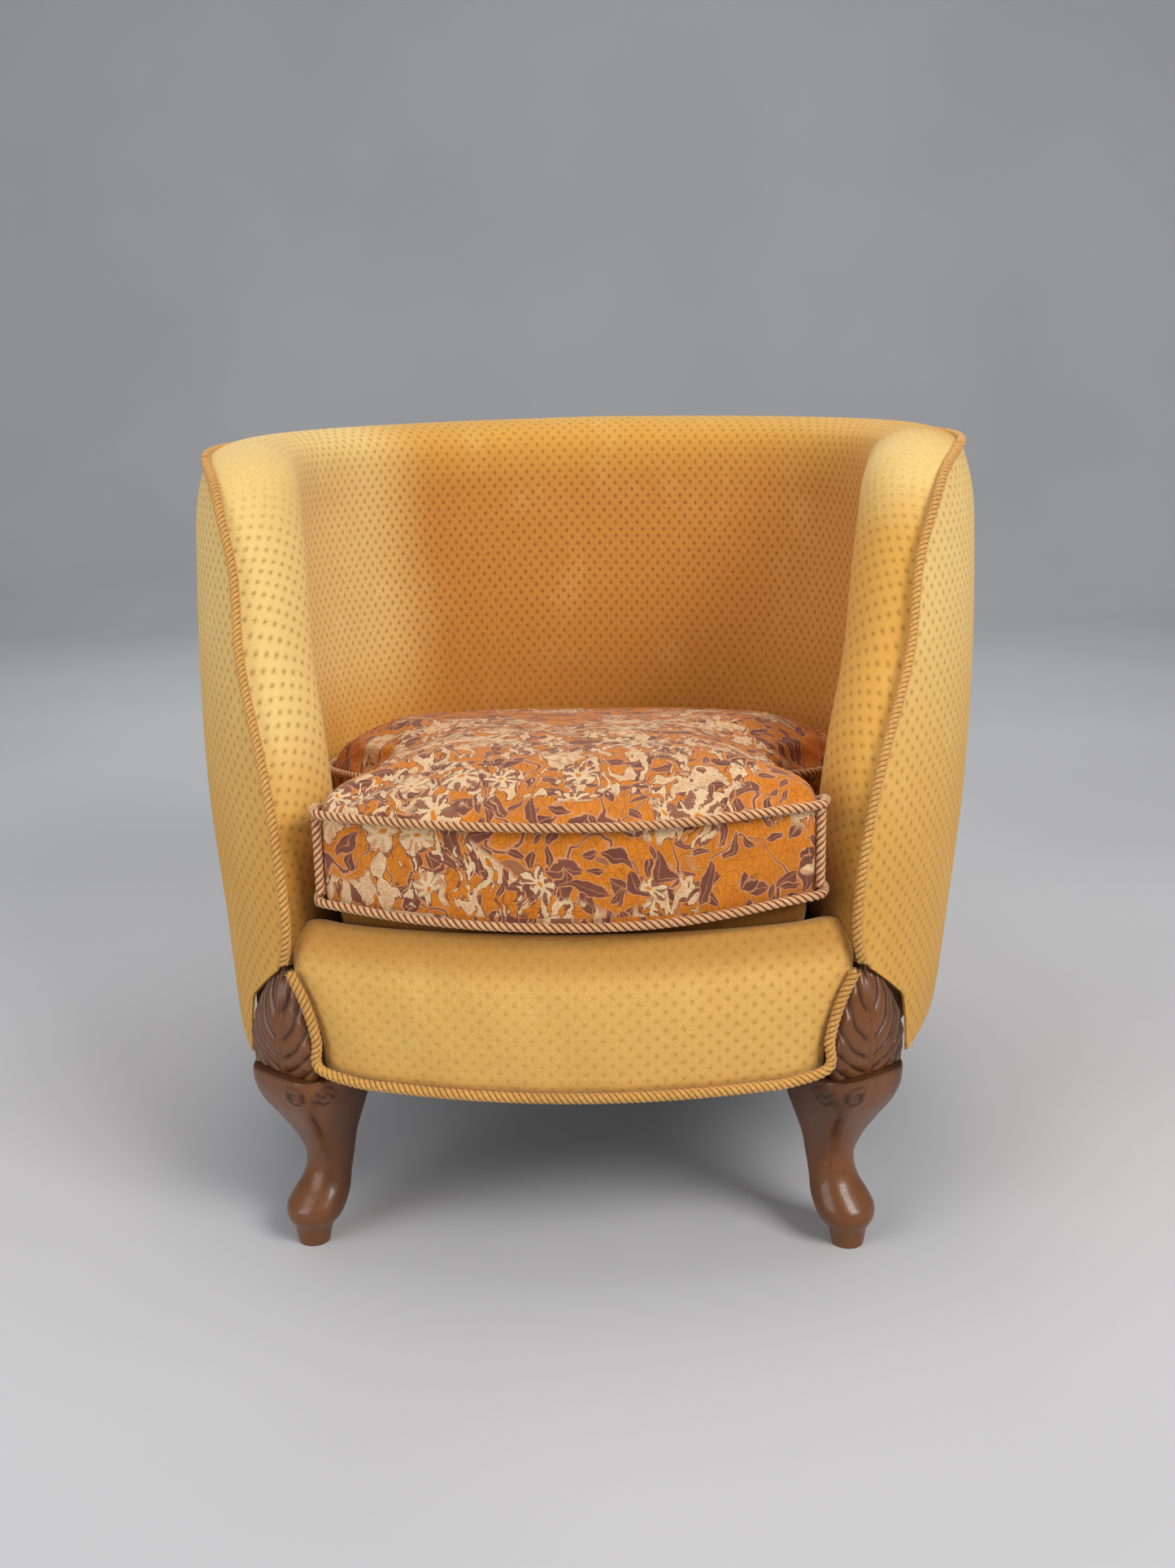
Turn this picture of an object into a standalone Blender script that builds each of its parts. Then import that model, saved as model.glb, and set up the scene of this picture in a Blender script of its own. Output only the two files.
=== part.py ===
"""Upholstered tub armchair, built as an upholsterer builds it: a beech frame, webbing, coil springs,
stuffed pads and rolls, outside covers, corded seams, carved knees, cabriole legs and a loose cushion.

Metres, +Z up. The chair faces -Y, +X is its right-hand side in a front view, and the origin lies on the
floor at the middle of its box. The wall of the tub is described once, by wall_point(): an angle round the
seat from the middle of the back, a height, and a depth measured inwards from the outside cover.
"""

import math

import bmesh
import bpy
import numpy as np
from mathutils import Vector

GAP = 0.0004

# The tub: half width, how far the outside back stands behind the tub's centre, and the centre itself.
HALF_WIDTH = 0.385
BACK_REACH = 0.325
TUB_CENTRE_Y = 0.06
WIDEST_Z = 0.53
BODY_BOTTOM = 0.168
WALL_DEPTH = 0.098
NOSE_TAPER = 0.012
BACK_EXTRA_DEPTH = 0.035
COVER_THICKNESS = 0.0045

# Reach of the arms in front of the tub's centre, by height.
ARM_REACH = ((0.165, 0.574), (0.25, 0.515), (0.36, 0.486), (0.50, 0.405), (0.58, 0.352), (0.68, 0.320))

# The edge that the corded seam follows: up the arm's front, as (height, angle), then round the rim.
ARM_EDGE = (
    (0.168, 126.0), (0.200, 127.4), (0.222, 129.2), (0.242, 133.0), (0.262, 138.0), (0.300, 140.3),
    (0.360, 139.6), (0.420, 136.7), (0.500, 131.3), (0.580, 128.5), (0.640, 120.6),
)
RIM_EDGE = ((0.661, 110.0), (0.669, 97.0), (0.674, 60.0), (0.678, 0.0))
ROLL_CORNER = 104.0
ROLL_BOTTOM = 0.270

# Section of the stuffed roll on that edge: (distance out past the seam, depth in from the cover).
ROLL_SECTION = (
    (-0.004, 0.0062), (0.007, 0.016), (0.013, 0.034), (0.012, 0.052), (0.004, 0.070),
    (-0.010, 0.083), (-0.033, 0.092), (-0.033, 0.0090),
)
ROLL_SECTION_ARM = (
    (-0.004, 0.0062), (0.003, 0.016), (0.005, 0.030), (0.002, 0.046), (-0.004, 0.062),
    (-0.014, 0.076), (-0.033, 0.087), (-0.033, 0.0110),
)
# How full the arm's roll is, by height: the cushion presses it flat lower down.
ROLL_FULLNESS = ((0.270, 0.42), (0.350, 0.45), (0.400, 0.78), (0.460, 1.0), (0.700, 1.0))

# Frame.
RAIL_BOTTOM = 0.182
RAIL_TOP = 0.245
RAIL_OUTER_DEPTH = 0.021
RAIL_INNER_DEPTH = 0.049
FRONT_RAIL_FRONT = -0.344
FRONT_RAIL_BOW = 0.95
FRONT_RAIL_THICKNESS = 0.028
FRONT_RAIL_HALF = 0.200
BACK_LEG_ANGLE = 38.0
BACK_LEG_HALF_ANGLE = 4.4
TOP_RAIL_Z = (0.606, 0.631)
TACKING_RAIL_Z = (0.284, 0.306)

# Seat.
STRAP_WIDTH = 0.055
STRAP_THICKNESS = 0.0022
SPRING_X = (-0.125, 0.0, 0.125)
SPRING_Y = (-0.235, -0.085, 0.065)
SPRING_TOP = 0.2868
SPRING_WIRE = 0.0018
SPRING_TURNS = 4
SPRING_POINTS_PER_TURN = 9
DECK_Z = (0.2898, 0.3171)
HESSIAN_Z = (0.2872, 0.2894)
CUSHION_BOTTOM = 0.3175
CUSHION_SEAM_LOW = 0.3225
CUSHION_SEAM_HIGH = 0.3960
CUSHION_CROWN = 0.4230
CUSHION_FRONT = -0.3757
CUSHION_CORD = 0.0042
# The sprung seat sinks this far, and the cushion's plan clears the sloping wall all the way down.
SEAT_TRAVEL = 0.035
# The cushion's top falls towards the back, from this place on and by this much at the most.
CUSHION_FALL_FROM = -0.14
CUSHION_FALL_TO = 0.23
CUSHION_FALL = 0.026

# Front border: bowed front face, and half widths by height that step in round the carved knees.
BORDER_FRONT = -0.3765
BORDER_BOW = 0.95
BORDER_THICKNESS = 0.031
BORDER_LEVELS = (
    # height, half width, how far the front face has rolled back, side chamfer
    (0.1700, 0.2085, 0.003, 0.010),
    (0.1800, 0.2105, 0.000, 0.014),
    (0.2050, 0.2115, -0.001, 0.020),
    (0.2350, 0.2195, -0.001, 0.030),
    (0.2620, 0.2325, 0.000, 0.036),
    (0.2850, 0.2335, 0.002, 0.038),
    (0.2990, 0.2280, 0.009, 0.034),
    (0.3060, 0.2180, 0.018, 0.028),
)

# Front legs: square tops turned outwards, S-shaped, ending in a pad on a small turned foot.
LEG_TURN = math.atan2(0.6, 0.8)
LEG_AXIS = (0.2185, -0.2810)
LEG_TOP = 0.1672
LEG_LEVELS = (
    # height, offset along the outward diagonal, half size, roundness (0 square, 1 circle)
    (0.0000, 0.0270, 0.0136, 1.0),
    (0.0075, 0.0270, 0.0150, 1.0),
    (0.0150, 0.0265, 0.0165, 1.0),
    (0.0260, 0.0245, 0.0240, 1.0),
    (0.0350, 0.0215, 0.0262, 1.0),
    (0.0440, 0.0155, 0.0250, 1.0),
    (0.0560, 0.0070, 0.0215, 0.9),
    (0.0750, 0.0000, 0.0200, 0.8),
    (0.0950, 0.0020, 0.0236, 0.6),
    (0.1180, 0.0068, 0.0320, 0.45),
    (0.1380, 0.0115, 0.0395, 0.35),
    (0.1540, 0.0125, 0.0428, 0.25),
    (0.1672, 0.0125, 0.0430, 0.2),
)
KNEE_OUTLINE = ((0.2157, -0.3396), (0.2781, -0.2928), (0.2583, -0.2664), (0.2157, -0.2984))
KNEE_CENTRE = (0.2400, -0.3010)
KNEE_LEVELS = (
    (LEG_TOP + GAP, 1.0), (0.200, 0.95), (0.222, 0.73), (0.240, 0.48), (0.254, 0.22), (0.262, 0.06),
)
CORD_RADIUS = 0.0034


def smooth_value(table, at):
    """Value at `at` of the smooth curve (cubic Hermite, central slopes) through (position, value) pairs."""
    places = np.array([row[0] for row in table])
    values = np.array([row[1] for row in table])
    slopes = np.gradient(values, places)
    at = min(max(at, places[0]), places[-1])
    i = min(max(int(np.searchsorted(places, at)) - 1, 0), len(places) - 2)
    width = places[i + 1] - places[i]
    t = (at - places[i]) / width
    start = (2 * t**3 - 3 * t**2 + 1) * values[i] + (t**3 - 2 * t**2 + t) * width * slopes[i]
    end = (-2 * t**3 + 3 * t**2) * values[i + 1] + (t**3 - t**2) * width * slopes[i + 1]
    return float(start + end)


def smooth_route(points, spacing):
    """Points about `spacing` apart on the Catmull-Rom curve through the given points."""
    points = [Vector(point) for point in points]
    ends = [2 * points[0] - points[1]] + points + [2 * points[-1] - points[-2]]
    route = []
    for a, b, c, d in zip(ends, ends[1:], ends[2:], ends[3:]):
        count = max(1, round((c - b).length / spacing))
        for step in range(count):
            t = step / count
            bend = 2 * a - 5 * b + 4 * c - d
            twist = 3 * b - a - 3 * c + d
            route.append(0.5 * (2 * b + (c - a) * t + bend * t**2 + twist * t**3))
    return route + [points[-1]]


def wall_radii(z):
    """Half width, reach behind and reach in front of the tub's centre, of the outside cover at height z."""
    rim = 2.2 * max(z - 0.60, 0.0) ** 2
    half_width = HALF_WIDTH - 0.24 * (z - WIDEST_Z) ** 2 - rim
    behind = BACK_REACH - 0.55 * max(0.55 - z, 0.0) ** 2 - rim
    return half_width, behind, smooth_value(ARM_REACH, z)


def wall_depth(angle, z):
    """Thickness of the wall: deeper low down at the back, where the inside back slopes, and thinner at the arms."""
    slope = min(max((0.68 - z) / 0.30, 0.0), 1.0)
    nose = min(max((abs(angle) - 105.0) / 30.0, 0.0), 1.0)
    back = max(math.cos(math.radians(angle)), 0.0)
    return WALL_DEPTH + BACK_EXTRA_DEPTH * back * slope - NOSE_TAPER * nose


def wall_normal(angle, z):
    half_width, behind, front = wall_radii(z)
    turn = math.radians(angle)
    reach = behind if abs(angle) <= 90 else front
    return Vector((math.sin(turn) / half_width, math.cos(turn) / reach, 0.0)).normalized()


def wall_point(angle, z, depth=0.0):
    """Point on the wall: angle in degrees from the middle of the back, positive towards +X."""
    half_width, behind, front = wall_radii(z)
    turn = math.radians(angle)
    reach = behind if abs(angle) <= 90 else front
    point = Vector((half_width * math.sin(turn), TUB_CENTRE_Y + reach * math.cos(turn), z))
    return point - wall_normal(angle, z) * depth


def edge_route(spacing):
    """The corded edge of the right half as (angle, height), from the arm's foot to the middle of the back."""
    corners = [(angle * 0.0065, z, 0.0) for z, angle in ARM_EDGE + RIM_EDGE]
    return [(point.x / 0.0065, point.y) for point in smooth_route(corners, spacing)]


def wall_slope_normal(angle, z):
    """The cover's true normal, with its lean, from two short steps on the surface."""
    along = wall_point(angle - 0.1, z) - wall_point(angle + 0.1, z)
    up = wall_point(angle, z + 0.0005) - wall_point(angle, z - 0.0005)
    return along.cross(up).normalized() * math.copysign(1.0, along.cross(up).dot(wall_normal(angle, z)))


def edge_stretch(count, wanted):
    """`count` places along the stretch of the corded edge for which wanted(angle, z) is true."""
    stretch = [(angle, z) for angle, z in edge_route(0.003) if wanted(angle, z)]
    return [stretch[round(i)] for i in np.linspace(0, len(stretch) - 1, count)]


def edge_angle(z):
    """Angle at which the corded edge reaches height z: it climbs all the way to the middle of the back."""
    route = edge_route(0.004)
    return float(np.interp(z, [height for _, height in route], [angle for angle, _ in route]))


def edge_frames(route):
    """For each (angle, height): the point on the cover, the wall's level normal, and two ways past the edge.

    The first way is square to the level normal, for the thick roll; the second lies in the cover, for the cord.
    """
    places = [wall_point(angle, z) for angle, z in route]
    frames = []
    for i, (angle, z) in enumerate(route):
        along = (places[min(i + 1, len(places) - 1)] - places[max(i - 1, 0)]).normalized()
        level = wall_normal(angle, z)
        sloped = wall_slope_normal(angle, z)
        frames.append((places[i], level, level.cross(along).normalized(), sloped.cross(along).normalized()))
    return frames


def edge_point(frame, out, depth):
    place, normal, outward, _ = frame
    return place + outward * out - normal * depth


def seam_cord_route(frames):
    """The cord lies just past the cover's edge."""
    return [place + outward * (CORD_RADIUS + 0.0010) for place, _, _, outward in frames]


def offset_outline(outline, distance):
    """A closed plan outline moved outwards by the distance, along each point's own normal."""
    points = [Vector(point) for point in outline]
    moved = []
    for before, point, after in zip([points[-1]] + points[:-1], points, points[1:] + [points[0]]):
        along = ((point - before).normalized() + (after - point).normalized()).normalized()
        moved.append(point + Vector((-along.y, along.x)) * distance)
    return moved


def mirrored(point):
    return Vector((-point.x, point.y, point.z))


def make_material(name, colour, roughness, metallic=0.0):
    material = bpy.data.materials.new(name)
    material.use_nodes = True
    shader = material.node_tree.nodes["Principled BSDF"]
    shader.inputs["Base Color"].default_value = (*colour, 1.0)
    shader.inputs["Roughness"].default_value = roughness
    shader.inputs["Metallic"].default_value = metallic
    material.diffuse_color = (*colour, 1.0)
    return material


def make_materials():
    return {
        "velvet": make_material("gold_velvet", (0.62, 0.38, 0.08), 0.85),
        "stuffing": make_material("calico_stuffing", (0.72, 0.65, 0.50), 0.95),
        "cushion": make_material("orange_floral_cloth", (0.60, 0.25, 0.07), 0.80),
        "cord": make_material("gold_cord", (0.55, 0.34, 0.10), 0.70),
        "cushion_cord": make_material("cream_and_rust_cord", (0.66, 0.45, 0.25), 0.70),
        "walnut": make_material("polished_walnut", (0.17, 0.07, 0.03), 0.30),
        "beech": make_material("beech", (0.63, 0.46, 0.28), 0.65),
        "webbing": make_material("jute_webbing", (0.52, 0.40, 0.24), 0.90),
        "spring": make_material("coppered_spring_wire", (0.50, 0.33, 0.20), 0.35, 1.0),
        "hessian": make_material("hessian", (0.50, 0.38, 0.22), 0.95),
        "black_cloth": make_material("black_bottom_cloth", (0.03, 0.03, 0.03), 0.95),
    }


def finish(obj, name, material):
    obj.name = name
    obj.data.name = name
    obj.data.materials.clear()
    obj.data.materials.append(material)
    for owner in list(obj.users_collection):
        owner.objects.unlink(obj)
    bpy.data.collections["tub_armchair"].objects.link(obj)
    return obj


def ladder(work, ring):
    """Caps a long thin ring, whose second half runs back beside its first, with a row of quads."""
    for i in range(len(ring) // 2 - 1):
        work.faces.new((ring[i], ring[i + 1], ring[-2 - i], ring[-1 - i]))


def loft(name, rings, material, smooth=True, thin=False):
    """A closed solid through rings of equal point count, capped at both ends; thin rings get ladder caps."""
    work = bmesh.new()
    loops = [[work.verts.new(point) for point in ring] for ring in rings]
    for lower, upper in zip(loops, loops[1:]):
        for i in range(len(lower)):
            j = (i + 1) % len(lower)
            work.faces.new((lower[i], lower[j], upper[j], upper[i]))
    for end in (loops[0], loops[-1]):
        if thin:
            ladder(work, end)
        else:
            work.faces.new(end)
    bmesh.ops.recalc_face_normals(work, faces=work.faces)
    mesh = bpy.data.meshes.new(name)
    work.to_mesh(mesh)
    work.free()
    if smooth:
        mesh.shade_smooth()
        mesh.set_sharp_from_angle(angle=math.radians(35))
    return finish(bpy.data.objects.new(name, mesh), name, material)


def flat_piece(name, outline, low, high, material):
    """A flat outline in the XY plane, from height low to height high."""
    curve = bpy.data.curves.new(name, "CURVE")
    curve.dimensions = "2D"
    curve.fill_mode = "BOTH"
    curve.extrude = (high - low) / 2
    spline = curve.splines.new("POLY")
    spline.points.add(len(outline) - 1)
    for target, point in zip(spline.points, outline):
        target.co = (point[0], point[1], 0.0, 1.0)
    spline.use_cyclic_u = True
    piece = finish(bpy.data.objects.new(name, curve), name, material)
    piece.location.z = (low + high) / 2
    return piece


def tube(name, route, radius, material, closed=False, sides=1):
    """A round cord or wire along the route; sides is the curve's bevel resolution."""
    curve = bpy.data.curves.new(name, "CURVE")
    curve.dimensions = "3D"
    curve.bevel_depth = radius
    curve.bevel_resolution = sides
    curve.use_fill_caps = True
    spline = curve.splines.new("POLY")
    spline.points.add(len(route) - 1)
    for target, point in zip(spline.points, route):
        target.co = (*point, 1.0)
    spline.use_cyclic_u = closed
    return finish(bpy.data.objects.new(name, curve), name, material)


def box(name, centre, size, material):
    bpy.ops.mesh.primitive_cube_add(size=1.0, location=centre)
    piece = bpy.context.active_object
    piece.scale = size
    bpy.ops.object.transform_apply(location=False, rotation=False, scale=True)
    return finish(piece, name, material)


def wall_band(name, start, end, low, high, outer_depth, inner_depth, material, step=5.0):
    """A flat curved rail that follows the wall, from angle start to angle end."""
    z = (low + high) / 2
    count = max(2, round(abs(end - start) / step) + 1)
    angles = np.linspace(start, end, count)
    outline = [wall_point(angle, z, outer_depth) for angle in angles]
    outline += [wall_point(angle, z, inner_depth) for angle in reversed(angles)]
    return flat_piece(name, outline, low, high, material)


def wall_panel(name, levels, angle_range, shallow, deep, material, columns):
    """A curved panel of the wall between two depths; angle_range(z) gives its first and last angle."""
    rings = []
    for share in np.linspace(0.0, 1.0, columns):
        ring = []
        for z in levels:
            start, end = angle_range(z)
            angle = start + (end - start) * share
            ring.append(wall_point(angle, z, shallow(angle, z)))
        for z in reversed(levels):
            start, end = angle_range(z)
            angle = start + (end - start) * share
            ring.append(wall_point(angle, z, deep(angle, z)))
        rings.append(ring)
    return loft(name, rings, material, thin=True)


def both_sides(build):
    """Calls build("left", -1) and build("right", 1)."""
    for side, sign in (("left", -1), ("right", 1)):
        build(side, sign)


def add_frame(materials):
    beech = materials["beech"]

    def bowed(x, back):
        return FRONT_RAIL_FRONT + FRONT_RAIL_BOW * x * x + (FRONT_RAIL_THICKNESS if back else 0.0)

    stations = np.linspace(-FRONT_RAIL_HALF, FRONT_RAIL_HALF, 15)
    outline = [(x, bowed(x, False)) for x in stations] + [(x, bowed(x, True)) for x in reversed(stations)]
    flat_piece("front_rail", outline, RAIL_BOTTOM, RAIL_TOP, beech)

    back_start = BACK_LEG_ANGLE - BACK_LEG_HALF_ANGLE - 0.9
    side_start = BACK_LEG_ANGLE + BACK_LEG_HALF_ANGLE + 0.9
    seat_depths = (RAIL_OUTER_DEPTH, RAIL_INNER_DEPTH)
    wall_band("back_rail", -back_start, back_start, RAIL_BOTTOM, RAIL_TOP, *seat_depths, beech)
    wall_band("back_tacking_rail", -back_start, back_start, *TACKING_RAIL_Z, 0.020, 0.044, beech)
    wall_band("top_rail", -back_start, back_start, *TOP_RAIL_Z, 0.016, 0.046, beech)

    def side_members(side, sign):
        ends = (sign * side_start, sign * 119.5)
        wall_band(f"side_rail_{side}", *ends, RAIL_BOTTOM, RAIL_TOP, *seat_depths, beech)
        wall_band(f"tacking_rail_{side}", sign * side_start, sign * 125.0, *TACKING_RAIL_Z, 0.020, 0.042, beech)
        wall_band(f"arm_rail_{side}", sign * side_start, sign * 99.5, *TOP_RAIL_Z, 0.016, 0.046, beech)
        add_arm_post(side, sign, beech)
        add_back_leg(side, sign, beech)
        add_corner_blocks(side, sign, beech)

    both_sides(side_members)


def add_arm_post(side, sign, beech):
    """The sawn post in the front of an arm, leaning back as the arm's front edge does."""
    fronts = (
        (RAIL_BOTTOM, 125.0), (0.235, 126.0), (0.262, 129.0), (0.300, 132.5), (0.360, 132.5),
        (0.420, 129.0), (0.500, 123.0), (0.580, 116.5), (0.618, 107.5),
    )
    rings = []
    for z, front in fronts:
        corners = ((front, 0.014), (front - 4.4, 0.014), (front - 4.4, 0.049), (front, 0.049))
        rings.append([wall_point(sign * angle, z, depth) for angle, depth in corners])
    loft(f"arm_post_{side}", rings, beech, smooth=False)


def add_back_leg(side, sign, beech):
    """A back leg and the back post above it, sawn from one piece; the foot splays out behind."""
    def square(centre_x, centre_y, z, half):
        turn = math.radians(BACK_LEG_ANGLE)
        across = Vector((math.cos(turn), -math.sin(turn), 0.0))
        out = Vector((math.sin(turn), math.cos(turn), 0.0))
        centre = Vector((centre_x, centre_y, z))
        corners = ((1, 1), (-1, 1), (-1, -1), (1, -1))
        points = [centre + across * half * a + out * half * b for a, b in corners]
        return [Vector((sign * point.x, point.y, point.z)) for point in points]

    rings = [square(0.232, 0.292, 0.0, 0.0150), square(0.212, 0.262, 0.090, 0.0175)]
    for z in (0.160, 0.250, 0.360, 0.480, 0.580, TOP_RAIL_Z[1]):
        narrow, wide = BACK_LEG_ANGLE - BACK_LEG_HALF_ANGLE, BACK_LEG_ANGLE + BACK_LEG_HALF_ANGLE
        corners = ((wide, 0.014), (narrow, 0.014), (narrow, 0.048), (wide, 0.048))
        rings.append([wall_point(sign * angle, z, depth) for angle, depth in corners])
    loft(f"back_leg_{side}", rings, beech, smooth=False)


def add_corner_blocks(side, sign, beech):
    front = (
        (0.1720, -0.2870), (0.2006, -0.2770), (0.2134, -0.2950), (0.2560, -0.2630), (0.2385, -0.2330),
        (0.1720, -0.2280),
    )
    flat_piece(f"corner_block_front_{side}", [(sign * x, y) for x, y in front], LEG_TOP + GAP, RAIL_TOP, beech)
    back = [wall_point(sign * angle, 0.2135, 0.060) for angle in (24.0, BACK_LEG_ANGLE, 52.0)]
    back += [wall_point(sign * angle, 0.2135, 0.088) for angle in (48.0, 28.0)]
    flat_piece(f"corner_block_back_{side}", back, RAIL_BOTTOM + 0.004, RAIL_TOP - 0.004, beech)


def add_front_legs(materials):
    walnut = materials["walnut"]

    def leg(side, sign):
        out = Vector((math.sin(LEG_TURN), -math.cos(LEG_TURN), 0.0))
        across = Vector((math.cos(LEG_TURN), math.sin(LEG_TURN), 0.0))
        rings = []
        for z, offset, half, roundness in LEG_LEVELS:
            centre = Vector((*LEG_AXIS, z)) + out * offset
            ring = []
            for step in range(16):
                turn = math.tau * (step + 0.5) / 16
                c, s = math.cos(turn), math.sin(turn)
                square = 1.0 / max(abs(c), abs(s))
                reach = half * (roundness + (1 - roundness) * min(square, 1.25))
                ring.append(centre + (out * c + across * s) * reach)
            rings.append([Vector((sign * point.x, point.y, point.z)) for point in ring])
        loft(f"front_leg_{side}", rings, walnut)

        block = []
        for z, scale in KNEE_LEVELS:
            ring = []
            for x, y in KNEE_OUTLINE:
                ring.append(
                    Vector((
                        sign * (KNEE_CENTRE[0] + (x - KNEE_CENTRE[0]) * scale),
                        KNEE_CENTRE[1] + (y - KNEE_CENTRE[1]) * scale,
                        z,
                    ))
                )
            block.append(ring)
        loft(f"knee_block_{side}", block, walnut, smooth=False)

    both_sides(leg)


def add_webbing(materials):
    """Straps under the seat rails: three from front to back, and three across below them."""
    jute = materials["webbing"]
    upper = RAIL_BOTTOM - GAP - STRAP_THICKNESS / 2
    lower = upper - STRAP_THICKNESS - GAP
    for number, x in enumerate(SPRING_X, start=1):
        edge = abs(x) + STRAP_WIDTH / 2
        front = FRONT_RAIL_FRONT + FRONT_RAIL_BOW * edge * edge + 0.003
        back = wall_point(math.degrees(math.asin(x / 0.32)), 0.2135, 0.030).y
        size = (STRAP_WIDTH, back - front, STRAP_THICKNESS)
        box(f"web_strap_long_{number}", (x, (front + back) / 2, upper), size, jute)
    for number, (y, half) in enumerate(zip(SPRING_Y, (0.150, 0.300, 0.325)), start=1):
        box(f"web_strap_cross_{number}", (0.0, y, lower), (2 * half, STRAP_WIDTH, STRAP_THICKNESS), jute)


def add_springs(materials):
    """Nine hourglass coil springs that stand on the webbing."""
    bottom = RAIL_BOTTOM - GAP + SPRING_WIRE + GAP
    top = SPRING_TOP - SPRING_WIRE
    count = SPRING_TURNS * SPRING_POINTS_PER_TURN
    number = 0
    for y in SPRING_Y:
        for x in SPRING_X:
            number += 1
            route = []
            for step in range(count + 1):
                share = step / count
                turn = math.tau * SPRING_TURNS * share
                radius = 0.026 + 0.011 * (2 * share - 1) ** 2
                route.append(
                    (x + radius * math.cos(turn), y + radius * math.sin(turn), bottom + (top - bottom) * share)
                )
            tube(f"seat_spring_{number}", route, SPRING_WIRE, materials["spring"])


def clear_reach(turn, heights, clearance):
    """Least level distance, over the heights, from the tub's centre to the inner wall less the clearance."""
    reaches = []
    for z in heights:
        ring = [wall_point(angle, z, wall_depth(angle, z) + clearance) for angle in range(0, 146, 5)]
        turns = [math.degrees(math.atan2(point.x, point.y - TUB_CENTRE_Y)) for point in ring]
        lengths = [math.hypot(point.x, point.y - TUB_CENTRE_Y) for point in ring]
        reaches.append(float(np.interp(turn, turns, lengths)))
    return min(reaches)


def seat_outline(heights, clearance, front, corner_x, corner_y, waist_x):
    """Plan of a seat layer that clears the wall at all the heights, with a bowed front between the arms."""
    half = []
    for turn in range(0, 136, 9):
        reach = clear_reach(turn, heights, clearance)
        half.append((reach * math.sin(math.radians(turn)), TUB_CENTRE_Y + reach * math.cos(math.radians(turn))))
    half += [(waist_x, -0.215), (waist_x, -0.250), (corner_x, corner_y + 0.030)]
    half += [(corner_x - 0.001, corner_y + 0.006), (corner_x - 0.008, corner_y - 0.004)]
    bow = (corner_y - 0.004 - front) / (corner_x - 0.008) ** 2
    half += [(x, front + bow * x * x) for x in (0.165, 0.120, 0.080, 0.040, 0.0)]
    return half + [(-x, y) for x, y in reversed(half[1:-1])]


def add_seat(materials):
    sunk = HESSIAN_Z[0] - SEAT_TRAVEL
    deck = seat_outline((sunk, DECK_Z[1]), 0.008, -0.336, 0.196, -0.306, 0.190)
    flat_piece("spring_cover", deck, *HESSIAN_Z, materials["hessian"])
    flat_piece("seat_deck", deck, *DECK_Z, materials["velvet"])

    lifted_past = np.linspace(CUSHION_BOTTOM - SEAT_TRAVEL, TOP_RAIL_Z[1], 12)
    outline = seat_outline(lifted_past, 0.0125, CUSHION_FRONT, 0.2100, -0.328, 0.1905)
    middle_y = -0.07

    def fallen(y, z):
        back = min(max((y - CUSHION_FALL_FROM) / (CUSHION_FALL_TO - CUSHION_FALL_FROM), 0.0), 1.0)
        height = min(max((z - CUSHION_SEAM_LOW) / (CUSHION_SEAM_HIGH - CUSHION_SEAM_LOW), 0.0), 1.0)
        return z - CUSHION_FALL * back * height

    def ring(scale, z):
        scaled = [(x * scale, middle_y + (y - middle_y) * scale) for x, y in outline]
        return [Vector((x, y, fallen(y, z))) for x, y in scaled]

    levels = (
        (0.955, CUSHION_BOTTOM), (0.985, CUSHION_SEAM_LOW), (1.0, 0.345), (1.0, 0.374),
        (0.985, CUSHION_SEAM_HIGH), (0.90, 0.4085), (0.70, 0.4165), (0.40, 0.4215), (0.12, CUSHION_CROWN),
    )
    loft("seat_cushion", [ring(scale, z) for scale, z in levels], materials["cushion"])
    cord = materials["cushion_cord"]
    for name, z in (("cushion_cord_top", CUSHION_SEAM_HIGH + 0.002), ("cushion_cord_bottom", CUSHION_SEAM_LOW)):
        seam = offset_outline(outline, CUSHION_CORD + 0.0004)
        tube(name, [(x, y, fallen(y, z)) for x, y in seam], CUSHION_CORD, cord, closed=True)

    def corner_cord(side, sign):
        x, y = sign * 0.2135, -0.3395
        tube(f"cushion_cord_{side}", [(x, y, z) for z in np.linspace(0.3285, 0.3942, 6)], CUSHION_CORD * 0.9, cord)

    both_sides(corner_cord)


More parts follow.
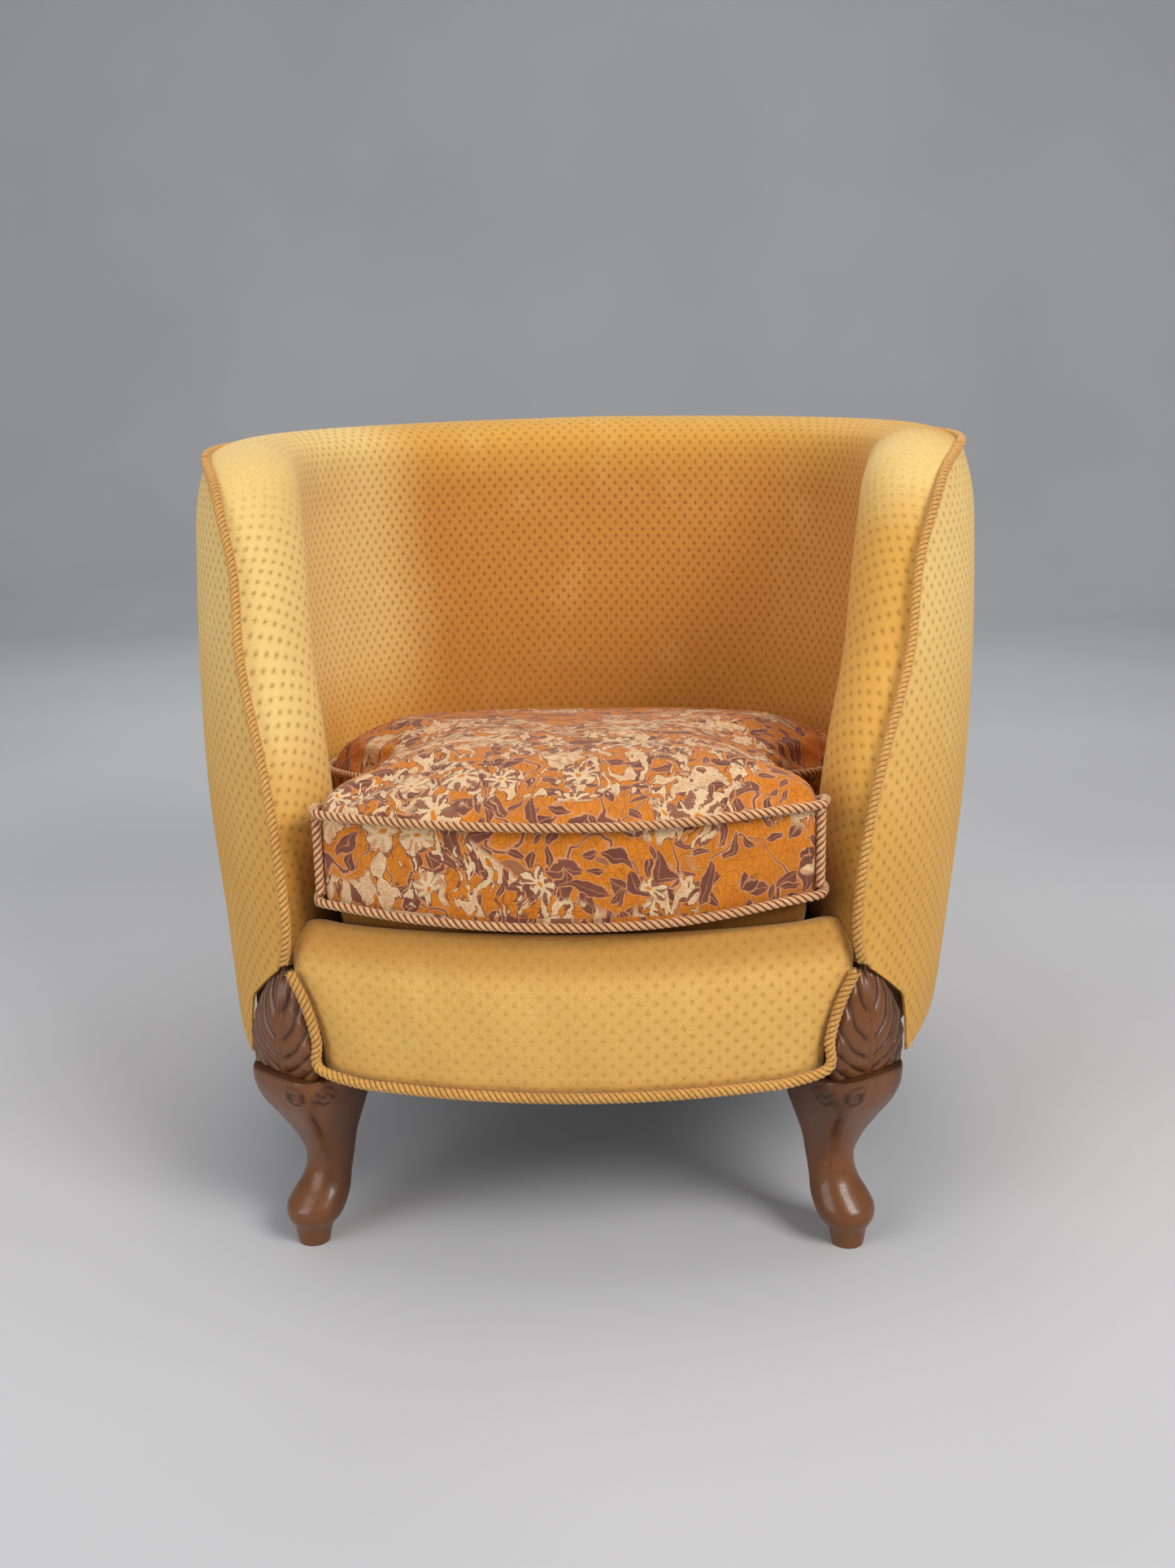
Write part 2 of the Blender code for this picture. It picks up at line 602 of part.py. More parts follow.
def add_wall(materials):
    """Inside pads, the stuffed rolls on the edge, the outside covers and the cord in the seam."""
    velvet, stuffing, cord = materials["velvet"], materials["stuffing"], materials["cord"]

    def pad_shallow(angle, z):
        return 0.054

    def cover_shallow(angle, z):
        return 0.0

    def cover_deep(angle, z):
        return COVER_THICKNESS

    def inside(angle, z):
        return wall_depth(angle, z)

    back_levels = [0.272, 0.340, 0.410, 0.480, 0.550, 0.600, 0.638]
    wall_panel("inside_back", back_levels, lambda z: (-54.0, 54.0), pad_shallow, inside, stuffing, 15)
    cover_levels = [BODY_BOTTOM, 0.220, 0.270, 0.320, 0.380, 0.430, 0.470, 0.510, 0.545, 0.580, 0.620, 0.648]
    wall_panel(
        "outside_back", cover_levels + [0.670], lambda z: (-56.0, 56.0), cover_shallow, cover_deep, velvet, 15,
    )

    def side_panels(side, sign):
        arm_levels = [0.272, 0.320, 0.370, 0.430, 0.490, 0.550, 0.590, 0.610]
        wall_panel(
            f"inside_arm_{side}", arm_levels,
            lambda z: (sign * 54.4, sign * (edge_angle(z + 0.034) - 8.5)), pad_shallow, inside, stuffing, 12,
        )
        wall_panel(
            f"outside_arm_{side}", cover_levels + [0.6585, 0.6635, 0.667, 0.670],
            lambda z: (sign * 56.3, sign * (edge_angle(z + 0.0015) - 0.3)), cover_shallow, cover_deep, velvet, 14,
        )

        route = edge_stretch(20, lambda angle, z: z >= ROLL_BOTTOM and angle > ROLL_CORNER)
        rings = []
        for frame, (_, z) in zip(edge_frames(route), route):
            share = min(max((z - 0.56) / 0.10, 0.0), 1.0)
            fullness = smooth_value(ROLL_FULLNESS, z)
            ring = []
            for (out, depth), (rim_out, rim_depth) in zip(ROLL_SECTION_ARM, ROLL_SECTION):
                out = min(out, out - 0.007 * (1.0 - fullness))
                depth = ROLL_SECTION_ARM[0][1] + (depth - ROLL_SECTION_ARM[0][1]) * fullness
                ring.append(edge_point(frame, out + (rim_out - out) * share, depth + (rim_depth - depth) * share))
            rings.append(ring if sign > 0 else [mirrored(point) for point in ring])
        loft(f"arm_front_roll_{side}", rings, stuffing)

        seam = edge_stretch(28, lambda angle, z: z >= ROLL_BOTTOM and angle > ROLL_CORNER)
        points = seam_cord_route(edge_frames(seam))
        tube(f"arm_cord_{side}", points if sign > 0 else [mirrored(point) for point in points], CORD_RADIUS, cord)

    both_sides(side_panels)

    half = edge_stretch(18, lambda angle, z: angle < ROLL_CORNER - 0.4)
    route = half + [(-angle, z) for angle, z in reversed(half[:-1])]
    frames = edge_frames(route)
    rings = [[edge_point(frame, out, depth) for out, depth in ROLL_SECTION] for frame in frames]
    loft("rim_roll", rings, stuffing)
    tube("rim_cord", seam_cord_route(frames), CORD_RADIUS, cord)


def add_border(materials):
    """The padded front border under the cushion, with a cord down its sides and along its bottom."""
    stations = np.linspace(-1.0, 1.0, 17)
    rings = []
    for z, half, rolled, chamfer in BORDER_LEVELS:
        front = [Vector((half * s, BORDER_FRONT + BORDER_BOW * (half * s) ** 2 + rolled, z)) for s in stations]
        back_half = half - chamfer
        back = []
        for s in reversed(stations):
            x = back_half * s
            back.append(Vector((x, BORDER_FRONT + BORDER_BOW * x * x + BORDER_THICKNESS, z)))
        rings.append(front + back)
    loft("front_border", rings, materials["velvet"], thin=True)

    reach = CORD_RADIUS + 0.0008
    side = []
    for z, half, _, _ in reversed(BORDER_LEVELS[1:5]):
        side.append((half + 0.0015, BORDER_FRONT + BORDER_BOW * half * half - reach - 0.002, z))
    corner = BORDER_LEVELS[0][1]
    bottom = []
    for share in np.linspace(1.0, -1.0, 15)[1:-1]:
        x = corner * share
        bottom.append((x, BORDER_FRONT + BORDER_BOW * x * x - reach, 0.1712))
    route = side + bottom + [(-x, y, z) for x, y, z in reversed(side)]
    tube("border_cord", [tuple(point) for point in smooth_route(route, 0.022)], CORD_RADIUS, materials["cord"])


def add_bottom_cloth(materials):
    """The cloth tacked under the frame, notched round the legs."""
    low = RAIL_BOTTOM - 2 * STRAP_THICKNESS - 3 * GAP - 0.0020
    half = []
    for angle in range(0, 117, 9):
        notched = abs(angle - BACK_LEG_ANGLE) < 9
        point = wall_point(angle, 0.2135, 0.082 if notched else 0.030)
        half.append((point.x, point.y))
    half += [(0.262, -0.200), (0.155, -0.215), (0.155, -0.300), (0.08, -0.322), (0.0, -0.330)]
    outline = half + [(-x, y) for x, y in reversed(half[1:-1])]
    flat_piece("bottom_cloth", outline, low, low + 0.0016, materials["black_cloth"])


def main():
    for leftover in list(bpy.data.objects):
        bpy.data.objects.remove(leftover, do_unlink=True)
    bpy.context.scene.collection.children.link(bpy.data.collections.new("tub_armchair"))
    materials = make_materials()
    add_frame(materials)
    add_front_legs(materials)
    add_webbing(materials)
    add_springs(materials)
    add_seat(materials)
    add_wall(materials)
    add_border(materials)
    add_bottom_cloth(materials)


main()
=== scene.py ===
"""Upholstered tub armchair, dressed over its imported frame: gold cut velvet, twisted cords, carved walnut
and a loose box cushion.

Every size is in metres. The wall of the tub is one formula: an angle round the seat from the middle of the
back, a height, and a depth measured inwards from the outside cover.
"""

import math

import bmesh
import bpy
import numpy as np
from mathutils import Matrix, Vector


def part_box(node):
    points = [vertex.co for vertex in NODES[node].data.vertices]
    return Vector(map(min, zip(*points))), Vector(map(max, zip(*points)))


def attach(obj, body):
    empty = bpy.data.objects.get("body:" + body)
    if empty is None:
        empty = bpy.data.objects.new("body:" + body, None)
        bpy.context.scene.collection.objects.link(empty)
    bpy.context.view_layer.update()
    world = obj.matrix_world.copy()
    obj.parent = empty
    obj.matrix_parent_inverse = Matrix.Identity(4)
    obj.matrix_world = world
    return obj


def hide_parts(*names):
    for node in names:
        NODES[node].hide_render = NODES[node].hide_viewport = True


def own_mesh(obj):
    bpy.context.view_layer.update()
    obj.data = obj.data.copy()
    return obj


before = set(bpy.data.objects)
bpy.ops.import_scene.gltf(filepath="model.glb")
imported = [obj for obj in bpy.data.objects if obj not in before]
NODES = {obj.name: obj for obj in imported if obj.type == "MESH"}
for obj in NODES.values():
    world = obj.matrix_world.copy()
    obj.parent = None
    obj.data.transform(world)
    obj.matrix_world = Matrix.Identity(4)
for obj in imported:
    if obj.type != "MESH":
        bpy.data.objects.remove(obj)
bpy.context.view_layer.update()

bl_info = {
    "name": "Upholstered Tub Armchair",
    "version": (1, 0, 0),
    "blender": (4, 5, 0),
    "location": "3D View > Sidebar > Armchair",
    "description": "Builds the covers, cords, cushion, carved legs and stage of a velvet tub armchair",
    "category": "Add Mesh",
}

SIDES = (("left", -1.0), ("right", 1.0))

# The tub's wall, as the frame is built.
HALF_WIDTH = 0.385
BACK_REACH = 0.325
TUB_CENTRE_Y = 0.06
WIDEST_Z = 0.53
BODY_BOTTOM = 0.168
WALL_DEPTH = 0.098
NOSE_TAPER = 0.012
BACK_EXTRA_DEPTH = 0.035
ARM_REACH = ((0.165, 0.574), (0.25, 0.515), (0.36, 0.486), (0.50, 0.405), (0.58, 0.352), (0.68, 0.320))
# The corded edge, as (height, angle): up the front of an arm, then round the rim to the middle of the back.
ARM_EDGE = (
    (0.168, 126.0), (0.200, 127.4), (0.222, 129.2), (0.242, 133.0), (0.262, 138.0), (0.300, 140.3),
    (0.360, 139.6), (0.420, 136.7), (0.500, 130.6), (0.580, 126.9), (0.640, 119.2),
)
RIM_EDGE = ((0.661, 110.0), (0.669, 97.0), (0.674, 60.0), (0.678, 0.0))
DEGREES_TO_SPAN = 0.0065
EDGE_SAMPLES = 500
RIM_CORNER = 104.0
SIDE_SEAM = 56.15
CORD_RADIUS = 0.0034
CORD_FULLNESS = 1.34  # the laid cord swells past the plain one
CORD_STEP = 0.0016

# Sections of the stuffed roll on the corded edge: (distance past the seam, share of the wall's depth).
RIM_SECTION = (
    (0.0, 0.02), (0.0056, 0.09), (0.0106, 0.21), (0.0134, 0.36), (0.0130, 0.52), (0.0085, 0.68),
    (-0.0010, 0.83), (-0.0150, 0.935), (-0.032, 0.985), (-0.050, 1.0),
)
ARM_SECTION = (
    (0.0, 0.03), (0.0012, 0.10), (0.0046, 0.21), (0.0058, 0.37), (0.0030, 0.54), (-0.0035, 0.70),
    (-0.0135, 0.84), (-0.0270, 0.94), (-0.042, 0.985), (-0.060, 1.0),
)
PRESSED_SECTION = (
    (0.0, 0.03), (0.0002, 0.09), (-0.0005, 0.19), (-0.0035, 0.31), (-0.0095, 0.45), (-0.0185, 0.61),
    (-0.0310, 0.77), (-0.0450, 0.90), (-0.058, 0.975), (-0.074, 1.0),
)
# How full the arm's roll is by height: the cushion presses it flat lower down.
ROLL_FULLNESS = ((0.255, 0.0), (0.350, 0.05), (0.400, 0.45), (0.460, 0.95), (0.520, 1.0), (0.700, 1.0))

# Front border: height, half width, how far the face has rolled back.
BORDER_FRONT = -0.3765
BORDER_BOW = 0.95
BORDER_LEVELS = (
    (0.1705, 0.2085, 0.0035), (0.1800, 0.2105, 0.0), (0.2050, 0.2115, -0.0015), (0.2350, 0.2195, -0.0020),
    (0.2600, 0.2325, -0.0010), (0.2790, 0.2335, 0.0020), (0.2900, 0.2300, 0.0060), (0.2965, 0.2250, 0.0120),
)

# Front legs: height, offset along the outward diagonal, half size, roundness.
LEG_AXIS = (0.2185, -0.2810)
LEG_TOP = 0.1672
LEG_LEVELS = (
    (0.0000, 0.0270, 0.0136, 1.0), (0.0075, 0.0270, 0.0150, 1.0), (0.0150, 0.0265, 0.0165, 1.0),
    (0.0260, 0.0245, 0.0240, 1.0), (0.0350, 0.0215, 0.0262, 1.0), (0.0440, 0.0155, 0.0250, 1.0),
    (0.0560, 0.0085, 0.0212, 0.9), (0.0750, 0.0025, 0.0200, 0.8), (0.0950, 0.0045, 0.0236, 0.6),
    (0.1180, 0.0095, 0.0322, 0.45), (0.1380, 0.0145, 0.0400, 0.35), (0.1540, 0.0158, 0.0435, 0.25),
    (0.1672, 0.0158, 0.0440, 0.2),
)
LEG_OUT = Vector((0.6, -0.8, 0.0))
LEG_ACROSS = Vector((0.8, 0.6, 0.0))


# ---------------------------------------------------------------- shape formulas


def curve_through(table, at):
    """Smooth curve (cubic Hermite, central slopes) through (position, value) pairs, read at places."""
    places, values = np.array(table, float).T
    slopes = np.gradient(values, places)
    at = np.clip(at, places[0], places[-1])
    i = np.clip(np.searchsorted(places, at) - 1, 0, len(places) - 2)
    width = places[i + 1] - places[i]
    t = (at - places[i]) / width
    rise = (2 * t**3 - 3 * t**2 + 1) * values[i] + (3 * t**2 - 2 * t**3) * values[i + 1]
    return rise + width * ((t**3 - 2 * t**2 + t) * slopes[i] + (t**3 - t**2) * slopes[i + 1])


def curve_along(points, share):
    """Catmull-Rom curve through rows of points, read at shares 0 to 1 of its length."""
    points = np.asarray(points, float)
    ends = np.vstack([2 * points[0] - points[1], points, 2 * points[-1] - points[-2]])
    t = np.linspace(0, 1, 24, endpoint=False)[None, :, None]
    a, b, c, d = (ends[i:len(ends) - 3 + i, None, :] for i in range(4))
    fine = 0.5 * (2 * b + (c - a) * t + (2 * a - 5 * b + 4 * c - d) * t**2 + (3 * b - a - 3 * c + d) * t**3)
    return resampled(np.vstack([fine.reshape(-1, points.shape[1]), points[-1:]]), share)


def resampled(route, share):
    """The polyline's points at shares 0 to 1 of its length."""
    steps = np.linalg.norm(np.diff(route, axis=0), axis=1)
    length = np.concatenate([[0.0], np.cumsum(steps)])
    at = np.asarray(share) * length[-1]
    return np.stack([np.interp(at, length, column) for column in route.T], axis=-1)


def polyline_length(route):
    return float(np.linalg.norm(np.diff(route, axis=0), axis=1).sum())


def smoothstep(low, high, x):
    t = np.clip((np.asarray(x, float) - low) / (high - low), 0.0, 1.0)
    return t * t * (3 - 2 * t)


def unit(vectors):
    return vectors / np.maximum(np.linalg.norm(vectors, axis=-1, keepdims=True), 1e-12)


def wall_radii(z):
    """Half width, reach behind and reach in front of the tub's centre at height z."""
    rim = 2.2 * np.maximum(z - 0.60, 0.0) ** 2
    half_width = HALF_WIDTH - 0.24 * (z - WIDEST_Z) ** 2 - rim
    behind = BACK_REACH - 0.55 * np.maximum(0.55 - z, 0.0) ** 2 - rim
    return half_width, behind, curve_through(ARM_REACH, z)


def wall_depth(angle, z):
    """Thickness of the wall: the back's slope adds to it low down, and the arms' noses taper."""
    slope = np.clip((0.68 - z) / 0.30, 0.0, 1.0)
    nose = np.clip((np.abs(angle) - 105.0) / 30.0, 0.0, 1.0)
    back = np.maximum(np.cos(np.radians(angle)), 0.0)
    return WALL_DEPTH + BACK_EXTRA_DEPTH * back * slope - NOSE_TAPER * nose


def wall_normal(angle, z):
    half_width, behind, front = wall_radii(z)
    turn = np.radians(angle)
    reach = np.where(np.abs(angle) <= 90, behind, front)
    return unit(np.stack([np.sin(turn) / half_width, np.cos(turn) / reach, np.zeros_like(turn + z)], axis=-1))


def wall_point(angle, z, depth=0.0):
    """Ellipse of the wall at height z, read at the angle, less the depth along its level normal."""
    angle, z, depth = np.broadcast_arrays(np.asarray(angle, float), np.asarray(z, float), depth)
    half_width, behind, front = wall_radii(z)
    turn = np.radians(angle)
    reach = np.where(np.abs(angle) <= 90, behind, front)
    place = np.stack([half_width * np.sin(turn), TUB_CENTRE_Y + reach * np.cos(turn), z], axis=-1)
    return place - wall_normal(angle, z) * depth[..., None]


def wall_angle(point):
    """The angle at which the ellipse of the point's own height passes in the point's direction."""
    half_width, behind, front = wall_radii(point[..., 2])
    forward = point[..., 1] - TUB_CENTRE_Y
    return np.degrees(np.arctan2(point[..., 0] / half_width, forward / np.where(forward >= 0, behind, front)))


def edge_curve():
    """The corded edge as rows of (angle, height), from the left arm's foot over the rim to the right's."""
    corners = np.array([(angle * DEGREES_TO_SPAN, z) for z, angle in ARM_EDGE + RIM_EDGE])
    right = curve_along(corners, np.linspace(0, 1, EDGE_SAMPLES))
    right[:, 0] /= DEGREES_TO_SPAN
    left = right * (-1, 1)
    return np.vstack([left, right[-2::-1]])


def edge_between(first, last, spacing):
    """Evenly spaced (angle, height) rows of the edge; first and last are shares of its left half, 0 to 2."""
    curve = edge_curve()
    half = len(curve) // 2
    piece = curve[round(first * half):round(last * half) + 1]
    steps = np.linalg.norm(np.diff(wall_point(piece[:, 0], piece[:, 1]), axis=0), axis=1)
    lengths = np.concatenate([[0.0], np.cumsum(steps)])
    at = np.linspace(0, lengths[-1], max(2, round(lengths[-1] / spacing) + 1))
    return np.stack([np.interp(at, lengths, piece[:, 0]), np.interp(at, lengths, piece[:, 1])], axis=-1)


def edge_share(height):
    """Share of the left half of the edge, from its foot, at which it reaches the height."""
    curve = edge_curve()[:EDGE_SAMPLES]
    return float(np.interp(height, curve[:, 1], np.linspace(0, 1, EDGE_SAMPLES)))


def edge_frames(rows):
    """Places on the cover, level normals and the way past the edge, for rows of (angle, height)."""
    angle, z = rows.T
    place = wall_point(angle, z)
    along = unit(np.gradient(place, axis=0))
    normal = wall_normal(angle, z)
    outward = unit(np.cross(along, normal))
    return place, normal, outward, along


def sloped_outward(rows, along):
    """The way past the edge that lies in the leaning cover itself, for the cord."""
    angle, z = rows.T
    across = wall_point(angle - 0.1, z) - wall_point(angle + 0.1, z)
    up = wall_point(angle, z + 0.0005) - wall_point(angle, z - 0.0005)
    normal = unit(np.cross(across, up))
    normal = normal * np.sign((normal * wall_normal(angle, z)).sum(-1, keepdims=True))
    return unit(np.cross(along, normal))


def arc_position(angle):
    """Distance along the wall from the middle of the back to the angle, at the inner face half way up."""
    turns = np.linspace(-150, 150, 601)
    ring = wall_point(turns, 0.5, wall_depth(turns, 0.5) * 0.5)
    run = np.concatenate([[0.0], np.cumsum(np.linalg.norm(np.diff(ring, axis=0), axis=1))])
    return np.interp(angle, turns, run - run[300])


# ---------------------------------------------------------------- meshes


def new_piece(name, points, faces, material, smooth=True, sharp=None):
    """A mesh object at the origin from an array of points and a list of arrays of corner numbers.

    Each array holds faces of one kind: rows of three or of four corners.
    """
    mesh = bpy.data.meshes.new(name)
    faces = [np.asarray(part, np.int32) for part in faces]
    sizes = np.concatenate([np.full(len(part), part.shape[1], np.int32) for part in faces])
    corners = np.concatenate([part.ravel() for part in faces])
    mesh.vertices.add(len(points))
    mesh.vertices.foreach_set("co", np.asarray(points, np.float32).ravel())
    mesh.loops.add(len(corners))
    mesh.loops.foreach_set("vertex_index", corners)
    mesh.polygons.add(len(sizes))
    mesh.polygons.foreach_set("loop_start", np.cumsum(sizes) - sizes)
    mesh.update(calc_edges=True)
    mesh.materials.append(material)
    piece = bpy.data.objects.new(name, mesh)
    bpy.context.scene.collection.objects.link(piece)
    if smooth:
        mesh.shade_smooth()
    if sharp is not None:
        mesh.set_sharp_from_angle(angle=math.radians(sharp))
    return piece


def face_outwards(piece):
    work = bmesh.new()
    work.from_mesh(piece.data)
    bmesh.ops.recalc_face_normals(work, faces=work.faces)
    work.to_mesh(piece.data)
    work.free()


def grid_faces(rows, columns, close_columns=False):
    """Corner numbers of the quads of a grid whose points run row by row."""
    i = np.arange(rows - 1)[:, None]
    j = np.arange(columns if close_columns else columns - 1)[None, :]
    k = (j + 1) % columns
    row, after = i * columns, (i + 1) * columns
    quads = np.stack([row + j, row + k, after + k, after + j], axis=-1)
    return quads.reshape(-1, 4)


def loop_piece(name, grid, material, fabric=None, **settings):
    """A closed solid from a grid (rows along it, columns round it), capped at both ends with fans of
    triangles.

    fabric is a grid of cloth positions in metres, stored as the UV map "fabric".
    """
    rows, columns = grid.shape[:2]
    points = grid.reshape(-1, 3)
    points = np.vstack([points, grid[0].mean(0), grid[-1].mean(0)])
    j = np.arange(columns)
    k = (j + 1) % columns
    base = (rows - 1) * columns
    fans = np.vstack([
        np.stack([np.full(columns, rows * columns), k, j], axis=-1),
        np.stack([np.full(columns, rows * columns + 1), base + j, base + k], axis=-1),
    ])
    faces = [grid_faces(rows, columns, close_columns=True), fans]
    piece = new_piece(name, points, faces, material, **settings)
    if fabric is not None:
        flat = fabric.reshape(-1, 2)
        flat = np.vstack([flat, fabric[0].mean(0), fabric[-1].mean(0)])
        store_uv(piece, flat)
    face_outwards(piece)
    return piece


def store_uv(piece, per_point, name="fabric"):
    """Writes one cloth position per point into a UV map, through each face corner's point."""
    mesh = piece.data
    corners = np.empty(len(mesh.loops), np.int32)
    mesh.loops.foreach_get("vertex_index", corners)
    layer = mesh.uv_layers.new(name=name)
    layer.data.foreach_set("uv", np.asarray(per_point, np.float32)[corners].ravel())


def twisted_cord(name, route, radius, pitch, material, reference, closed=False):
    """Three strands laid round a route: each centre follows a helix, and each strand is a round tube.

    reference is the direction that the turns are counted from, or one direction for each point of the route.
    The UV map "fabric" runs along each strand in metres, and round it from its inner side, 0 to 1. The
    attribute "strand" says which strand a point is on, from 0 to 1.
    """
    strands, sides = 3, 8
    if closed:
        route = np.vstack([route, route[:1]])
    length = polyline_length(route)
    count = max(8, round(length / CORD_STEP))
    share = np.linspace(0, 1, count + 1)[:-1] if closed else np.linspace(0, 1, count)
    centre = resampled(route, share)
    if closed:
        along = unit(np.roll(centre, -1, axis=0) - np.roll(centre, 1, axis=0))
    else:
        along = unit(np.gradient(centre, axis=0))
    across = np.broadcast_to(np.asarray(reference, float), centre.shape) if np.ndim(reference) == 1 else (
        unit(resampled(reference, share)))
    first = unit(across - (across * along).sum(-1, keepdims=True) * along)
    second = np.cross(along, first)
    turns = max(1, round(length / pitch)) if closed else length / pitch
    reach = radius * 0.50
    thick = radius - reach + radius * 0.05
    points, faces, flat, shade = [], [], [], []
    for strand in range(strands):
        turn = math.tau * (turns * share + strand / strands)
        radial = first * np.cos(turn)[:, None] + second * np.sin(turn)[:, None]
        middle = centre + radial * reach
        if closed:
            heading = unit(np.roll(middle, -1, axis=0) - np.roll(middle, 1, axis=0))
        else:
            heading = unit(np.gradient(middle, axis=0))
        side = unit(np.cross(heading, radial))
        up = np.cross(side, heading)
        round_turn = math.tau * (np.arange(sides) / sides + 0.5)
        ring = ring_about(up, side, round_turn)
        tube = middle[:, None] + ring * thick
        base = sum(len(part) for part in points)
        points.append(tube.reshape(-1, 3))
        quads = grid_faces(len(centre), sides, close_columns=True)
        if closed:
            quads = np.vstack([quads, closing_quads(len(centre), sides)])
        faces.append(quads + base)
        run = np.broadcast_to((share * length)[:, None], tube.shape[:2])
        turned = np.broadcast_to((np.arange(sides) / sides)[None, :], tube.shape[:2])
        flat.append(np.stack([run, turned], axis=-1).reshape(-1, 2))
        shade.append(np.full(tube.shape[0] * tube.shape[1], strand / max(strands - 1, 1)))
        if not closed:
            ends = np.stack([middle[0], middle[-1]])
            start = base + len(tube) * sides
            points.append(ends)
            flat.append(np.array([[0.0, 0.0], [length, 0.0]]))
            shade.append(np.full(2, strand / max(strands - 1, 1)))
            j = np.arange(sides)
            k = (j + 1) % sides
            last = base + (len(tube) - 1) * sides
            faces.append(np.stack([np.full(sides, start), k + base, j + base], axis=-1))
            faces.append(np.stack([np.full(sides, start + 1), j + last, k + last], axis=-1))
    piece = new_piece(name, np.vstack(points), faces, material)
    store_uv(piece, np.vstack(flat))
    attribute = piece.data.attributes.new("strand", "FLOAT", "POINT")
    attribute.data.foreach_set("value", np.concatenate(shade).astype(np.float32))
    face_outwards(piece)
    return piece


def ring_about(up, side, turns):
    """Unit circles in the planes of up and side, one for each of their rows."""
    return up[:, None] * np.cos(turns)[None, :, None] + side[:, None] * np.sin(turns)[None, :, None]


def closing_quads(rows, columns):
    """Quads that join the last row of a closed tube to its first."""
    j = np.arange(columns)
    k = (j + 1) % columns
    last = (rows - 1) * columns
    return np.stack([last + j, last + k, k, j], axis=-1)


def sheet_grid(outer, inner):
    """Points round a thin sheet: the outer face's rows, then back along the inner face."""
    return np.concatenate([outer, inner[:, ::-1]], axis=1)


# ---------------------------------------------------------------- materials


class Value:
    """A number that changes over the surface. Each operation on it adds one Math node."""

    def __init__(self, recipe, socket):
        self.recipe = recipe
        self.socket = socket

    def math(self, operation, *others):
        node = self.recipe.tree.nodes.new("ShaderNodeMath")
        node.operation = operation
        for slot, value in enumerate((self, *others)):
            self.recipe.put(node.inputs[slot], value)
        return Value(self.recipe, node.outputs[0])

    def __add__(self, other):
        return self.math("ADD", other)

    __radd__ = __add__

    def __mul__(self, other):
        return self.math("MULTIPLY", other)

    __rmul__ = __mul__

    def __sub__(self, other):
        return self.math("SUBTRACT", other)

    def __rsub__(self, other):
        return (self * -1.0) + other

    def __truediv__(self, other):
        return self.math("DIVIDE", other)

    def __abs__(self):
        return self.math("ABSOLUTE")

    def fract(self):
        return self.math("FRACT")

    def floor(self):
        return self.math("FLOOR")

    def sin(self):
        return self.math("SINE")

    def cos(self):
        return self.math("COSINE")

    def root(self):
        return self.math("SQRT")

    def power(self, exponent):
        return self.math("POWER", exponent)

    def least(self, other):
        return self.math("MINIMUM", other)

    def step(self, low, high):
        """Smoothly from 0 at low to 1 at high; a high below low turns it round."""
        node = self.recipe.tree.nodes.new("ShaderNodeMapRange")
        node.interpolation_type = "SMOOTHSTEP"
        turned = low > high
        self.recipe.put(node.inputs["Value"], self)
        node.inputs["From Min"].default_value = min(low, high)
        node.inputs["From Max"].default_value = max(low, high)
        node.inputs["To Min"].default_value = 1.0 if turned else 0.0
        node.inputs["To Max"].default_value = 0.0 if turned else 1.0
        return Value(self.recipe, node.outputs[0])


